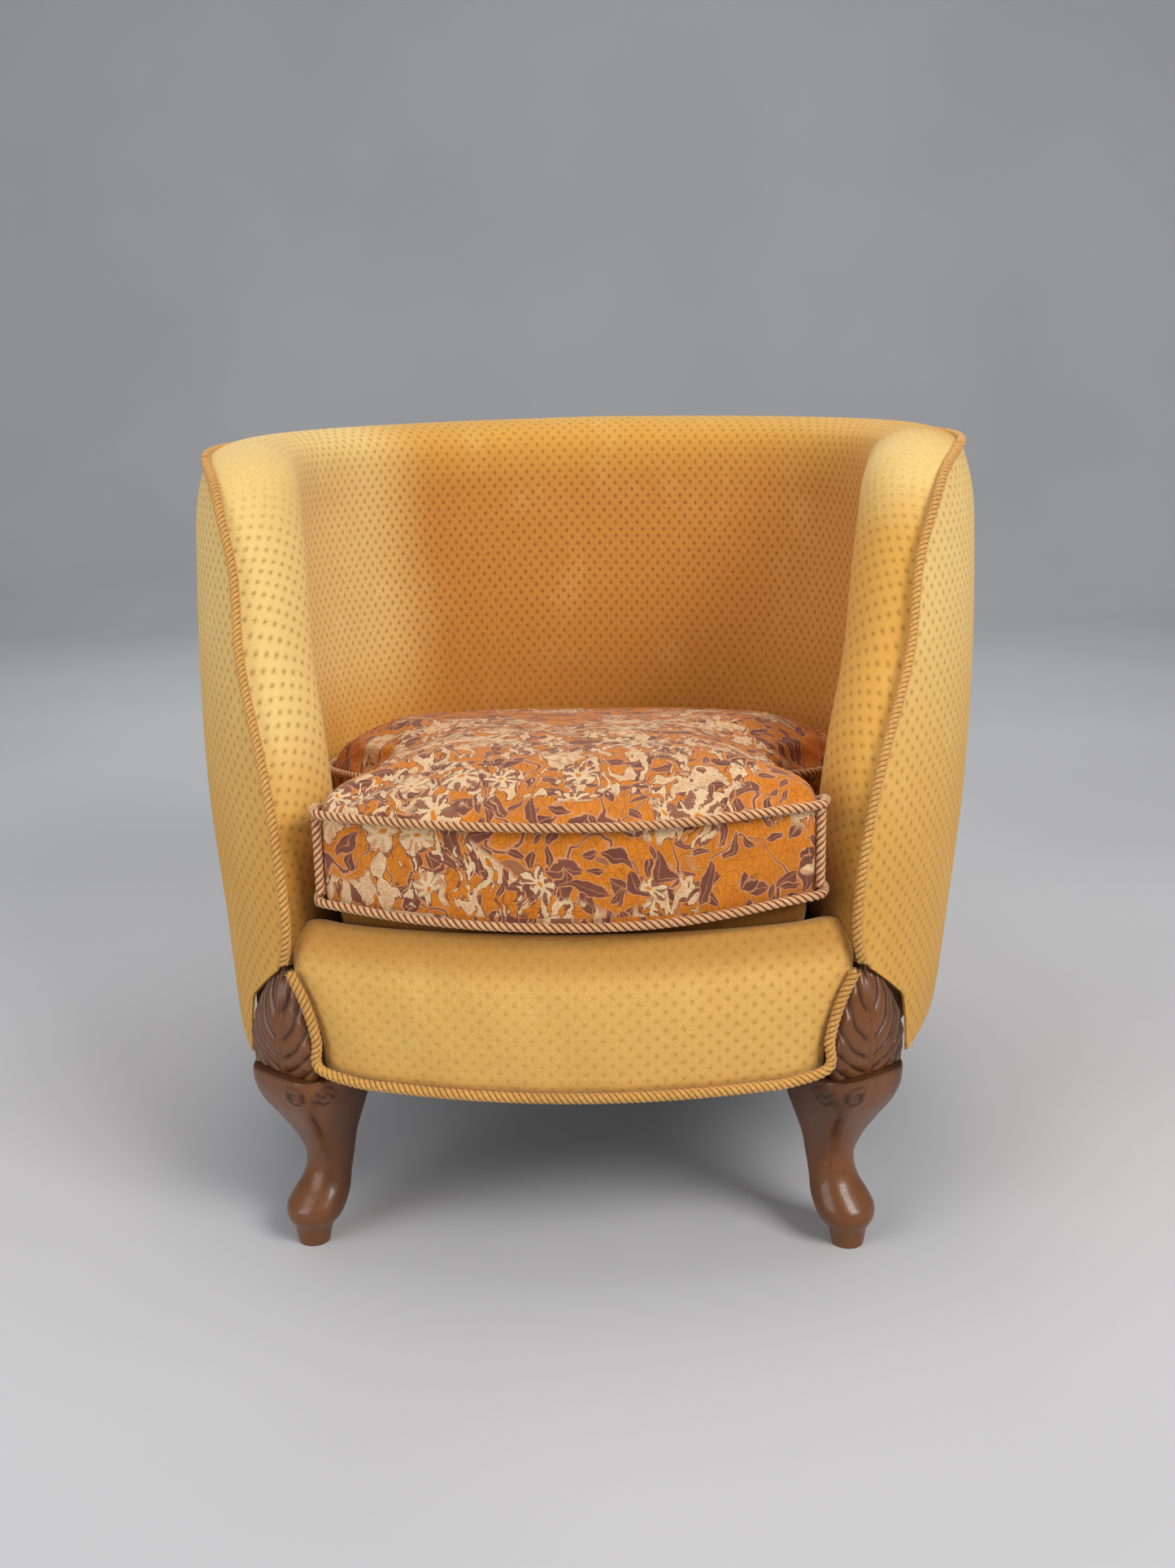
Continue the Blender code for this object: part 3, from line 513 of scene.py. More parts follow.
class Recipe:
    """The nodes of one material, or of one shared group."""

    def __init__(self, name, group=False, inputs=(), outputs=()):
        if group:
            self.tree = bpy.data.node_groups.new(name, "ShaderNodeTree")
            for label, kind, default in inputs:
                made = self.tree.interface.new_socket(name=label, in_out="INPUT", socket_type=kind)
                if default is not None:
                    made.default_value = default
            for label, kind in outputs:
                self.tree.interface.new_socket(name=label, in_out="OUTPUT", socket_type=kind)
            self.entry = self.tree.nodes.new("NodeGroupInput")
            self.exit = self.tree.nodes.new("NodeGroupOutput")
            return
        self.material = bpy.data.materials.new(name)
        self.material.use_nodes = True
        self.tree = self.material.node_tree
        self.shader = self.tree.nodes["Principled BSDF"]

    def put(self, socket, value):
        if isinstance(value, Value):
            self.tree.links.new(value.socket, socket)
        elif isinstance(value, (tuple, list)) and len(value) == 3:
            socket.default_value = (*value, 1.0) if socket.type == "RGBA" else value
        else:
            socket.default_value = value

    def taken(self, name):
        return Value(self, self.entry.outputs[name])

    def give(self, name, value):
        self.put(self.exit.inputs[name], value)

    def node(self, kind, output=0, settings=(), **inputs):
        made = self.tree.nodes.new(kind)
        for name, value in dict(settings).items():
            setattr(made, name, value)
        for name, value in inputs.items():
            self.put(made.inputs[name.replace("_", " ")], value)
        return Value(self, made.outputs[output])

    def group(self, shared, **inputs):
        made = self.tree.nodes.new("ShaderNodeGroup")
        made.node_tree = shared
        for name, value in inputs.items():
            self.put(made.inputs[name.replace("_", " ")], value)
        return {output.name: Value(self, output) for output in made.outputs}

    def fabric(self):
        """The cloth position in metres, along and up, from the piece's own UV map."""
        map_node = self.tree.nodes.new("ShaderNodeUVMap")
        map_node.uv_map = "fabric"
        return Value(self, map_node.outputs[0])

    def position(self):
        return self.node("ShaderNodeTexCoord", output="Object")

    def axes(self, vector):
        split = self.tree.nodes.new("ShaderNodeSeparateXYZ")
        self.put(split.inputs[0], vector)
        return [Value(self, output) for output in split.outputs]

    def vector(self, x, y, z=0.0):
        return self.node("ShaderNodeCombineXYZ", X=x, Y=y, Z=z)

    def attribute(self, name):
        made = self.tree.nodes.new("ShaderNodeAttribute")
        made.attribute_name = name
        return Value(self, made.outputs["Fac"])

    def noise(self, vector, scale, detail=2.0, roughness=0.5, distortion=0.0):
        return self.node("ShaderNodeTexNoise", Vector=vector, Scale=scale, Detail=detail, Roughness=roughness,
                         Distortion=distortion)

    def mix(self, share, first, second, blend="MIX"):
        made = self.tree.nodes.new("ShaderNodeMix")
        made.data_type = "RGBA"
        made.blend_type = blend
        self.put(made.inputs[0], share)
        self.put(made.inputs[6], first)
        self.put(made.inputs[7], second)
        return Value(self, made.outputs[2])

    def stretched(self, vector, scale):
        made = self.tree.nodes.new("ShaderNodeMapping")
        made.inputs["Scale"].default_value = scale
        self.put(made.inputs["Vector"], vector)
        return Value(self, made.outputs[0])

    def bump(self, height, strength, distance, under=None):
        made = self.tree.nodes.new("ShaderNodeBump")
        made.inputs["Strength"].default_value = strength
        made.inputs["Distance"].default_value = distance
        self.put(made.inputs["Height"], height)
        if under is not None:
            self.put(made.inputs["Normal"], under)
        return Value(self, made.outputs[0])

    def finish(self, colour, roughness, normal=None, **constants):
        """Links what changes over the surface, and sets the rest on the shader's own sockets."""
        self.put(self.shader.inputs["Base Color"], colour)
        self.put(self.shader.inputs["Roughness"], roughness)
        if normal is not None:
            self.put(self.shader.inputs["Normal"], normal)
        for name, value in constants.items():
            self.put(self.shader.inputs[name.replace("_", " ")], value)
        return self.material


def colour_of(red, green, blue):
    """A linear colour from its 0-255 screen values."""
    parts = np.array([red, green, blue]) / 255.0
    linear = np.where(parts <= 0.04045, parts / 12.92, ((parts + 0.055) / 1.055) ** 2.4)
    return tuple(float(part) for part in linear)


def shaded(colour, factor):
    return tuple(min(part * factor, 1.0) for part in colour)


GROUPS = {}


def shared_groups():
    """Effects that several finishes use: patches of rubbed or soiled surface, woven threads, wood grain."""
    patches = Recipe("patches", group=True,
                     inputs=(("Place", "NodeSocketVector", None), ("Size", "NodeSocketFloat", 5.0)),
                     outputs=(("Broad", "NodeSocketFloat"), ("Fine", "NodeSocketFloat")))
    place = patches.taken("Place")
    size = patches.taken("Size")
    broad = patches.noise(place, 1.0, detail=3.0, roughness=0.55, distortion=0.4)
    patches.put(broad.socket.node.inputs["Scale"], size)
    fine = patches.noise(place, 1.0, detail=4.0, roughness=0.65)
    patches.put(fine.socket.node.inputs["Scale"], size * 14.0)
    patches.give("Broad", broad.step(0.30, 0.70))
    patches.give("Fine", fine.step(0.25, 0.75))
    GROUPS["patches"] = patches.tree

    weave = Recipe("weave", group=True,
                   inputs=(("Place", "NodeSocketVector", None), ("Threads", "NodeSocketFloat", 800.0)),
                   outputs=(("Height", "NodeSocketFloat"), ("Shade", "NodeSocketFloat")))
    x, y, _ = weave.axes(weave.taken("Place"))
    threads = weave.taken("Threads")
    across, along = x * threads, y * threads
    warp = abs((across * math.pi).sin())
    weft = abs((along * math.pi).sin())
    over = ((across.floor() + along.floor()) * 0.5).fract().step(0.2, 0.3)
    height = warp * (1.0 - over) + weft * over
    lumps = weave.noise(weave.taken("Place"), 900.0, detail=2.0)
    weave.give("Height", height + lumps * 0.35)
    weave.give("Shade", (height * 0.55 + 0.45) * (lumps * 0.5 + 0.75))
    GROUPS["weave"] = weave.tree

    grain = Recipe("grain", group=True,
                   inputs=(("Place", "NodeSocketVector", None), ("Rings", "NodeSocketFloat", 60.0)),
                   outputs=(("Figure", "NodeSocketFloat"), ("Pores", "NodeSocketFloat")))
    along_grain = grain.stretched(grain.taken("Place"), (1.0, 1.0, 0.10))
    bend = grain.noise(along_grain, 14.0, detail=3.0, roughness=0.6)
    x, y, _ = grain.axes(along_grain)
    rings = ((x * 1.0 + y * 0.6) * grain.taken("Rings") + bend * 5.0).sin() * 0.5 + 0.5
    pores = grain.noise(grain.stretched(grain.taken("Place"), (1.0, 1.0, 0.035)), 900.0, detail=2.0)
    grain.give("Figure", rings * 0.55 + bend.step(0.3, 0.7) * 0.45)
    grain.give("Pores", pores.step(0.56, 0.70))
    GROUPS["grain"] = grain.tree


# Point shares of the velvet: painted shade, painted highlight, worn brown, crushed pile (both in part painted
# shade) and fleck fading.
VELVET_LIGHT_AND_WEAR = ("warm", "pale", "worn", "crushed", "faded")


def velvet_finish(settings):
    """Gold velvet: cut pile with soft brown flecks on a diamond lattice.

    Each fleck darkens towards its middle from a ragged edge. Point attributes carry painted light and shade:
    a darker orange-brown painted shade, in which the flecks show stronger, a paler painted highlight on lit
    sides and corners, worn brown, crushed pile darkened further, and where the flecks show less. Worn brown
    and crushed pile are painted shade on the deck and in part under the cushion. Paler noise patches are
    painted sheen.
    """
    recipe = Recipe("gold_cut_velvet")
    gold = tuple(settings.velvet_colour)
    warm, pale, worn, crushed, faded = (recipe.attribute(name) for name in VELVET_LIGHT_AND_WEAR)
    u, v, _ = recipe.axes(recipe.fabric())
    place = recipe.position()
    wander = recipe.noise(place, 9.0, detail=1.0) - 0.5
    column = (u + wander * 0.004) / settings.fleck_spacing
    row = (v + wander * 0.004) / (settings.fleck_spacing * settings.fleck_row_share * 2.0)
    one = (column + row).fract() - 0.5
    two = (column - row).fract() - 0.5
    reach = (one * one + two * two).root()
    ragged = recipe.noise(place, 620.0, detail=2.0, roughness=0.6) - 0.5
    fleck = (reach + ragged * 0.42).step(0.40, 0.10)
    middle = (reach + ragged * 0.30).step(0.20, 0.04)
    pile = recipe.noise(recipe.stretched(place, (1.0, 1.0, 0.6)), 950.0, detail=2.0, roughness=0.7)
    soiled = recipe.group(GROUPS["patches"], Place=place, Size=3.2)
    # Broad noise for patches of painted sheen.
    sheen_patches = recipe.noise(recipe.stretched(place, (1.0, 1.0, 0.5)), 22.0, detail=3.0, roughness=0.6)
    ground = recipe.mix(soiled["Broad"] * 0.35, gold, shaded(gold, 0.86))
    # Painted shade: where shade falls on the inside back and the right inside arm, the ground turns darker
    # orange-brown.
    ground = recipe.mix(warm * 0.85, ground, tuple(settings.velvet_warm_colour))
    # Painted highlight: lit sides, rim corners and the sheen patches turn the ground paler.
    ground = recipe.mix((pale * 0.9 + sheen_patches.step(0.50, 0.85) * 0.25).least(1.0), ground,
                        tuple(settings.velvet_pale_colour))
    # Inside the painted shade the flecks show stronger and darker.
    strength = (1.0 - faded * 0.75) * (warm * 0.3 + 0.7)
    dark = recipe.mix(warm, tuple(settings.fleck_colour), shaded(tuple(settings.velvet_warm_colour), 0.42))
    colour = recipe.mix((fleck * 0.44 + middle * 0.46) * strength, ground, dark)
    # Worn brown: darker low down, and painted shade on the deck and under the cushion's overhang along the
    # border's top.
    colour = recipe.mix(worn * 0.75, colour, tuple(settings.worn_and_shade_colour))
    # Crushed pile, darker still: beside the cushion at the arms' fronts and on the deck it is painted shade
    # as well.
    colour = recipe.mix(crushed * 0.70, colour, shaded(tuple(settings.worn_and_shade_colour), 0.62))
    colour = recipe.mix(pile.step(0.40, 0.70) * (faded * 0.22 + 0.20), colour, shaded(gold, 0.50))
    colour = recipe.mix(pile.step(0.46, 0.28) * 0.28, colour, shaded(gold, 1.45))
    height = pile * 1.1 - (fleck + middle) * strength * 0.5
    normal = recipe.bump(height, 0.55, 0.0011)
    return recipe.finish(
        colour, pile * 0.15 + 0.80, normal, Sheen_Weight=0.30, Sheen_Roughness=0.42,
        Sheen_Tint=(1.0, 0.86, 0.56), Specular_IOR_Level=0.18,
    )


def scattered(recipe, place, scale, randomness, turned=0.0):
    """Cells of a scatter: the offset from the cell's middle, in cells, turned at random, and two dice."""
    cells = recipe.tree.nodes.new("ShaderNodeTexVoronoi")
    cells.voronoi_dimensions = "2D"
    cells.inputs["Scale"].default_value = scale
    cells.inputs["Randomness"].default_value = randomness
    recipe.put(cells.inputs["Vector"], place)
    x, y, _ = recipe.axes(place)
    centre_x, centre_y, _ = recipe.axes(Value(recipe, cells.outputs["Position"]))
    dice = recipe.tree.nodes.new("ShaderNodeSeparateColor")
    recipe.put(dice.inputs[0], Value(recipe, cells.outputs["Color"]))
    turn = Value(recipe, dice.outputs[0]) * math.tau + turned
    across = (x - centre_x) * scale
    upward = (y - centre_y) * scale
    turned_x = across * turn.cos() + upward * turn.sin()
    turned_y = upward * turn.cos() - across * turn.sin()
    return turned_x, turned_y, Value(recipe, dice.outputs[1]), Value(recipe, dice.outputs[2])


def leaf_field(along, aside, half_length, half_width):
    """Below 0 inside a pointed leaf: distance from its midrib less a width that shrinks to its two ends."""
    share = along / half_length
    return abs(aside) - (1.0 - share * share) * half_width


def flower_field(along, aside, petals, radius):
    """Below 0 inside a flower whose outline swells once a petal; also the turn, for streaks."""
    reach = (along * along + aside * aside).root()
    turn = along.math("ARCTAN2", aside)
    swell = abs((turn * (petals / 2.0)).cos())
    return reach - (swell.power(0.55) * 0.36 + 0.64) * radius, reach, turn


def cushion_finish(settings):
    """Orange cloth with dark crackle, mauve leaves lined in peach, stems, and cream flowers."""
    recipe = Recipe("orange_floral_cloth")
    ground_colour = tuple(settings.cushion_ground)
    mauve = tuple(settings.leaf_colour)
    peach = tuple(settings.outline_colour)
    cream = tuple(settings.flower_colour)
    cloth = recipe.fabric()
    u, v, _ = recipe.axes(cloth)
    drift_u = recipe.noise(cloth, 30.0, detail=2.0) - 0.5
    drift_v = recipe.noise(recipe.vector(u + 3.0, v + 5.0), 30.0, detail=2.0) - 0.5
    drawn = recipe.vector(u + drift_u * 0.024, v + drift_v * 0.024)
    tremble = recipe.noise(cloth, 420.0, detail=2.0) - 0.5

    crackle = recipe.tree.nodes.new("ShaderNodeTexVoronoi")
    crackle.feature = "DISTANCE_TO_EDGE"
    crackle.voronoi_dimensions = "2D"
    crackle.inputs["Scale"].default_value = 1.0
    recipe.put(crackle.inputs["Vector"], recipe.vector(u * 210.0 + drift_u * 5.0, v * 120.0 + drift_v * 5.0))
    crack = Value(recipe, crackle.outputs["Distance"]).step(0.075, 0.02)
    colour = recipe.mix(crack * 0.55, ground_colour, shaded(ground_colour, 0.36))
    tone = recipe.noise(cloth, 16.0, detail=2.0)
    colour = recipe.mix(tone.step(0.35, 0.75) * 0.35, colour, shaded(ground_colour, 0.72))

    stems = recipe.noise(drawn, 17.0, detail=1.0)
    line = abs(stems - 0.5)
    colour = recipe.mix(line.step(0.020, 0.012), colour, peach)
    colour = recipe.mix(line.step(0.009, 0.004), colour, mauve)

    for scale, half_length, half_width, share, seed in (
            (36.0, 0.47, 0.20, 0.70, 0.0), (52.0, 0.47, 0.18, 0.80, 2.1), (22.0, 0.46, 0.15, 0.22, 4.0)):
        moved = recipe.vector(u + drift_u * 0.034 + seed, v + drift_v * 0.034 + seed * 0.7)
        along, aside, chance, tint = scattered(recipe, moved, scale, 0.75, seed)
        field = leaf_field(along, aside, half_length, half_width) + tremble * 0.05
        there = chance.step(1.0 - share + 0.01, 1.0 - share - 0.01) * -1.0 + 1.0
        rim = 0.0012 * scale
        colour = recipe.mix(field.step(rim * 0.75, rim * 0.45) * there, colour, peach)
        body = recipe.mix(tint, mauve, shaded(mauve, 0.72))
        colour = recipe.mix(field.step(-rim * 0.1, -rim * 0.45) * there, colour, body)
        vein = abs(aside).step(rim * 0.35, rim * 0.12) * field.step(-0.02, -0.05)
        colour = recipe.mix(vein * there * 0.7, colour, peach)

    bunch = recipe.noise(recipe.vector(u + 0.31, v * 1.4 + 0.11), 8.0, detail=1.0)
    middle = v.step(-0.37, -0.30) * v.step(0.02, -0.14) * abs(u).step(0.20, 0.09)
    plume = (bunch + middle * 0.17).step(0.51, 0.56)
    spray = recipe.noise(recipe.stretched(drawn, (1.0, 0.5, 1.0)), 78.0, distortion=1.2)
    petal = recipe.mix((tremble + spray).step(0.56, 0.70) * 0.55, cream, peach)
    colour = recipe.mix(spray.step(0.500, 0.515) * plume, colour, mauve)
    colour = recipe.mix(spray.step(0.530, 0.545) * plume, colour, petal)
    for scale, petals, radius, level, seed in ((25.0, 5.0, 0.40, 0.80, 1.3), (14.0, 6.0, 0.40, 0.84, 5.2)):
        moved = recipe.vector(u + drift_u * 0.030 + seed, v + drift_v * 0.030 + seed)
        along, aside, chance, tint = scattered(recipe, moved, scale, 0.80, seed)
        field, reach, turn = flower_field(along, aside * (tint * 0.5 + 0.9), petals, radius)
        field = field + tremble * 0.16
        there = (chance * 0.55 + bunch * 0.75).step(level, level + 0.02)
        rim = 0.0011 * scale
        colour = recipe.mix(field.step(rim, rim * 0.5) * there, colour, mauve)
        streaks = ((turn * petals * 1.5).sin() * 0.5 + 0.5) * reach.step(0.02, radius * 0.6)
        streaks = (streaks + tremble * 1.6).step(0.25, 0.80)
        petal = recipe.mix(streaks * 0.75, cream, peach)
        petal = recipe.mix((streaks * tint).step(0.20, 0.45) * 0.85, petal, mauve)
        colour = recipe.mix(field.step(rim * 0.1, -rim * 0.4) * there, colour, petal)
        colour = recipe.mix(reach.step(radius * 0.20, radius * 0.10) * there, colour, ground_colour)

    soiled = recipe.group(GROUPS["patches"], Place=recipe.position(), Size=6.0)
    colour = recipe.mix(soiled["Fine"] * 0.25, colour, shaded(ground_colour, 0.45), blend="MULTIPLY")
    woven = recipe.group(GROUPS["weave"], Place=cloth, Threads=900.0)
    colour = recipe.mix(woven["Shade"] * -0.30 + 0.30, colour, shaded(mauve, 0.4))
    normal = recipe.bump(woven["Height"] - crack * 0.8, 0.5, 0.0006)
    return recipe.finish(colour, woven["Shade"] * -0.10 + 0.86, normal, Sheen_Weight=0.12,
                         Sheen_Roughness=0.5, Specular_IOR_Level=0.25)


def cord_finish(name, yarn, groove, groove_width, depth=0.0006):
    """Twisted yarn: fine threads wind round each strand, and the grooves have another colour.

    On the gold cord the groove colour is painted shade; on the two-tone cord it is the rust second yarn.
    """
    recipe = Recipe(name)
    run, turned, _ = recipe.axes(recipe.fabric())
    strand = recipe.attribute("strand")
    threads = ((run * 900.0 + turned * 2.0) * math.tau * 0.5).sin() * 0.5 + 0.5
    fuzz = recipe.noise(recipe.position(), 900.0, detail=3.0, roughness=0.7)
    patchy = recipe.group(GROUPS["patches"], Place=recipe.position(), Size=9.0)
    aside = abs(turned - 0.5)
    colour = recipe.mix(strand * 0.35, yarn, shaded(yarn, 0.80))
    colour = recipe.mix(threads * 0.25, colour, shaded(yarn, 0.55))
    colour = recipe.mix(fuzz.step(0.45, 0.8) * 0.45, colour, shaded(yarn, 1.30))
    # The strands' sides in the grooves take the groove colour: painted shade on the gold cord, the rust yarn
    # on the two-tone cord.
    colour = recipe.mix((aside + fuzz * 0.05).step(0.25 - groove_width, 0.29 - groove_width), colour, groove)
    colour = recipe.mix(patchy["Broad"] * 0.22, colour, shaded(groove, 0.80))
    normal = recipe.bump(threads * 0.6 + fuzz, 0.6, depth)
    return recipe.finish(colour, fuzz * 0.2 + 0.70, normal, Sheen_Weight=0.20, Sheen_Roughness=0.5,
                         Specular_IOR_Level=0.25)


def walnut_finish(name, light, dark, polish):
    """Polished walnut: dark figure and pores, darker in the hollows, with small knocks."""
    recipe = Recipe(name)
    place = recipe.position()
    grown = recipe.group(GROUPS["grain"], Place=place, Rings=52.0)
    worn = recipe.group(GROUPS["patches"], Place=place, Size=11.0)
    hollow = recipe.attribute("hollow")
    colour = recipe.mix(grown["Figure"], light, dark)
    colour = recipe.mix(grown["Pores"] * 0.35, colour, shaded(dark, 0.35))
    colour = recipe.mix(worn["Broad"] * 0.30, colour, shaded(light, 1.25))
    colour = recipe.mix(hollow * 0.80, colour, shaded(dark, 0.22))
    knocks = recipe.noise(place, 160.0, detail=2.0).step(0.70, 0.76)
    colour = recipe.mix(knocks * 0.30, colour, shaded(light, 1.9))
    normal = recipe.bump(grown["Pores"] * -0.5 + knocks * -0.5 + worn["Fine"] * 0.2, 0.25, 0.0004)
    return recipe.finish(colour, worn["Fine"] * 0.16 + polish + hollow * 0.25, normal, Coat_Weight=0.22,
                         Coat_Roughness=0.10, Specular_IOR_Level=0.35)


def beech_finish():
    recipe = Recipe("sawn_beech")
    place = recipe.position()
    light, dark = colour_of(205, 170, 120), colour_of(160, 118, 74)
    grown = recipe.group(GROUPS["grain"], Place=place, Rings=30.0)
    flecks = recipe.noise(recipe.stretched(place, (1.0, 1.0, 0.15)), 420.0, detail=1.0).step(0.62, 0.72)
    colour = recipe.mix(grown["Figure"] * 0.6, light, dark)
    colour = recipe.mix(flecks * 0.5, colour, shaded(dark, 0.6))
    dusty = recipe.group(GROUPS["patches"], Place=place, Size=8.0)
    colour = recipe.mix(dusty["Broad"] * 0.35, colour, colour_of(120, 105, 88))
    normal = recipe.bump(grown["Pores"] + dusty["Fine"] * 0.4, 0.4, 0.0005)
    return recipe.finish(colour, dusty["Fine"] * 0.2 + 0.60, normal)


def woven_finish(name, colour, threads):
    """Plain woven cloth or webbing, with dust in it."""
    recipe = Recipe(name)
    place = recipe.position()
    woven = recipe.group(GROUPS["weave"], Place=place, Threads=threads)
    dusty = recipe.group(GROUPS["patches"], Place=place, Size=12.0)
    tone = recipe.mix(woven["Shade"], shaded(colour, 0.5), shaded(colour, 1.1))
    tone = recipe.mix(dusty["Broad"] * 0.25, tone, shaded(colour_of(130, 118, 100), 0.6))
    normal = recipe.bump(woven["Height"], 0.6, 0.0008)
    return recipe.finish(tone, woven["Shade"] * -0.1 + 0.95, normal, Specular_IOR_Level=0.2)


def wire_finish():
    recipe = Recipe("coppered_spring_wire")
    place = recipe.position()
    rusty = recipe.group(GROUPS["patches"], Place=place, Size=30.0)
    colour = recipe.mix(rusty["Broad"] * 0.7, colour_of(176, 128, 92), colour_of(96, 60, 40))
    normal = recipe.bump(rusty["Fine"], 0.3, 0.0002)
    return recipe.finish(colour, rusty["Broad"] * 0.35 + 0.32, normal, Metallic=1.0)


FINISHES = {}


def make_finishes(settings):
    """Every finish once, by the record's material slot."""
    shared_groups()
    light, dark = tuple(settings.wood_light), tuple(settings.wood_dark)
    FINISHES.update({
        "velvet": velvet_finish(settings),
        "cushion": cushion_finish(settings),
        # The gold cord's groove colour is painted shade; the two-tone cord's is its rust yarn.
        "cord": cord_finish("gold_twisted_cord", colour_of(222, 166, 86), colour_of(120, 72, 22), 0.09),
        "cushion_cord": cord_finish("cream_and_rust_cord", colour_of(228, 184, 130),
                                    colour_of(150, 72, 40), 0.11),
        "walnut": walnut_finish("polished_walnut", light, dark, 0.26),
        "back_leg": walnut_finish("stained_back_leg", shaded(light, 0.7), shaded(dark, 0.7), 0.36),
        "beech": beech_finish(),
        "webbing": woven_finish("jute_webbing", colour_of(168, 138, 92), 420.0),
        "spring": wire_finish(),
        "hessian": woven_finish("hessian", colour_of(164, 132, 86), 520.0),
        "black_cloth": woven_finish("black_cambric", colour_of(30, 29, 28), 1200.0),
    })


# ---------------------------------------------------------------- settings


def size_setting(name, description, default, low, high):
    return bpy.props.FloatProperty(name=name, description=description, default=default, min=low, max=high,
                                   subtype="DISTANCE", unit="LENGTH", precision=4)


def share_setting(name, description, default):
    return bpy.props.FloatProperty(name=name, description=description, default=default, min=0.0, max=1.0,
                                   subtype="FACTOR")


def colour_setting(name, description, default):
    return bpy.props.FloatVectorProperty(name=name, description=description, default=default, size=3, min=0.0,
                                         max=1.0, subtype="COLOR")


class ArmchairSizes(bpy.types.PropertyGroup):
    skin: size_setting("Velvet lift", "How far the velvet stands off the stuffing", 0.0006, 0.0, 0.003)
    cushion_inset: size_setting("Cushion inset", "How much smaller the cushion starts before it is filled",
                                0.0018, 0.0, 0.02)
    cushion_cap: size_setting("Cushion swell", "The most that filling moves any point of the cushion",
                              0.010, 0.005, 0.04)
    cord_pitch: size_setting("Cord twist", "Length of one turn of the gold cord", 0.0155, 0.005, 0.05)
    cushion_cord_pitch: size_setting("Cushion cord twist", "Length of one turn of the two-tone cord",
                                     0.0180, 0.005, 0.05)
    relief: size_setting("Carving depth", "Depth of the flutes in the carved knees", 0.0030, 0.0, 0.005)


class ArmchairFinish(bpy.types.PropertyGroup):
    velvet_colour: colour_setting("Velvet", "Ground of the velvet", colour_of(224, 166, 74))
    # Painted shade on the velvet: its darker orange-brown.
    velvet_warm_colour: colour_setting("Warm velvet", "Where the pile lies away", colour_of(206, 136, 62))
    # Painted highlight on the velvet's lit sides and rim corners.
    velvet_pale_colour: colour_setting("Pale velvet", "Where the pile is rubbed", colour_of(242, 208, 134))
    # Worn brown, which is also painted shade on the deck and under the cushion.
    worn_and_shade_colour: colour_setting("Worn velvet", "Where sitting has flattened the pile",
                                colour_of(166, 106, 40))
    fleck_colour: colour_setting("Flecks", "The small figure on the velvet", colour_of(150, 96, 22))
    fleck_spacing: size_setting("Fleck spacing", "Distance between flecks in a row", 0.0142, 0.005, 0.05)
    fleck_row_share: share_setting("Fleck row share", "Distance between rows, as a share of the spacing",
                                   0.525)
    cushion_ground: colour_setting("Cushion ground", "Ground of the cushion cloth", colour_of(230, 136, 26))
    leaf_colour: colour_setting("Leaves", "Leaves on the cushion cloth", colour_of(138, 80, 60))
    outline_colour: colour_setting("Outlines", "Lines round leaves and petals", colour_of(224, 156, 104))
    flower_colour: colour_setting("Flowers", "Petals on the cushion cloth", colour_of(243, 210, 162))
    wood_light: colour_setting("Light wood", "The lighter figure of the walnut", colour_of(118, 70, 34))
    wood_dark: colour_setting("Dark wood", "The darker figure of the walnut", colour_of(44, 24, 12))


# ---------------------------------------------------------------- velvet over the tub


def wall_section(rows):
    """Section of the roll at each row of the edge: distance past the seam, and share of the wall's depth.

    It passes smoothly from the pressed arm to the full arm and on to the rim.
    """
    z = rows[:, 1]
    fullness = curve_through(ROLL_FULLNESS, z)
    rim = smoothstep(0.56, 0.66, z)
    steps = np.linspace(0, 1, 26)

    def section(table):
        return curve_along(np.array(table), steps)

    arm = section(PRESSED_SECTION)[None] * (1 - fullness)[:, None, None]
    arm = arm + section(ARM_SECTION)[None] * fullness[:, None, None]
    return arm * (1 - rim)[:, None, None] + section(RIM_SECTION)[None] * rim[:, None, None]


def inside_grid(settings):
    """Grid of the inside velvet: rows along the edge from arm to arm; columns over the roll and down.

    Past the seam the roll bulges in the edge's own frame. Behind it, each point sits on the wall at an
    angle, a height and a depth. The columns then fan down to the line behind the cushion and return inside
    the wall.
    """
    rows = edge_between(edge_share(0.262), 2 - edge_share(0.262), 0.0075)
    place, _, outward, _ = edge_frames(rows)
    section = wall_section(rows)
    out, share = section[..., 0], section[..., 1]

    behind = place[:, None] + outward[:, None] * np.minimum(out, 0.0)[..., None]
    angle = wall_angle(behind)
    z = behind[..., 2]
    depth = wall_depth(angle, z) * share + settings.skin * smoothstep(0.02, 0.10, share)
    roll = wall_point(angle, z, depth)
    roll = roll + outward[:, None] * np.maximum(out, 0.0)[..., None]

    fan = np.linspace(0, 1, 40)[1:]
    foot_angle, foot_z = foot_line(rows)
    low_angle = angle[:, -1:] + (foot_angle[:, None] - angle[:, -1:]) * fan
    low_z = z[:, -1:] + (foot_z[:, None] - z[:, -1:]) * fan
    wall = wall_point(low_angle, low_z, wall_depth(low_angle, low_z) + settings.skin)
    wall = wall - wall_normal(low_angle, low_z) * soft_swell(low_angle, low_z)[..., None]

    back = np.linspace(1, 0, 8)[None, :]
    back_angle = angle[:, 8:9] + (foot_angle[:, None] - angle[:, 8:9]) * back
    back_z = z[:, 8:9] + (foot_z[:, None] - z[:, 8:9]) * back
    inner = wall_point(back_angle, back_z, np.minimum(0.055, wall_depth(back_angle, back_z) * 0.55) * (
        0.25 + 0.75 * back))
    grid = np.concatenate([roll, wall, inner], axis=1)
    return rows, grid, cloth_positions(rows, grid, angle, z, outward, low_angle, low_z, back.shape[1])


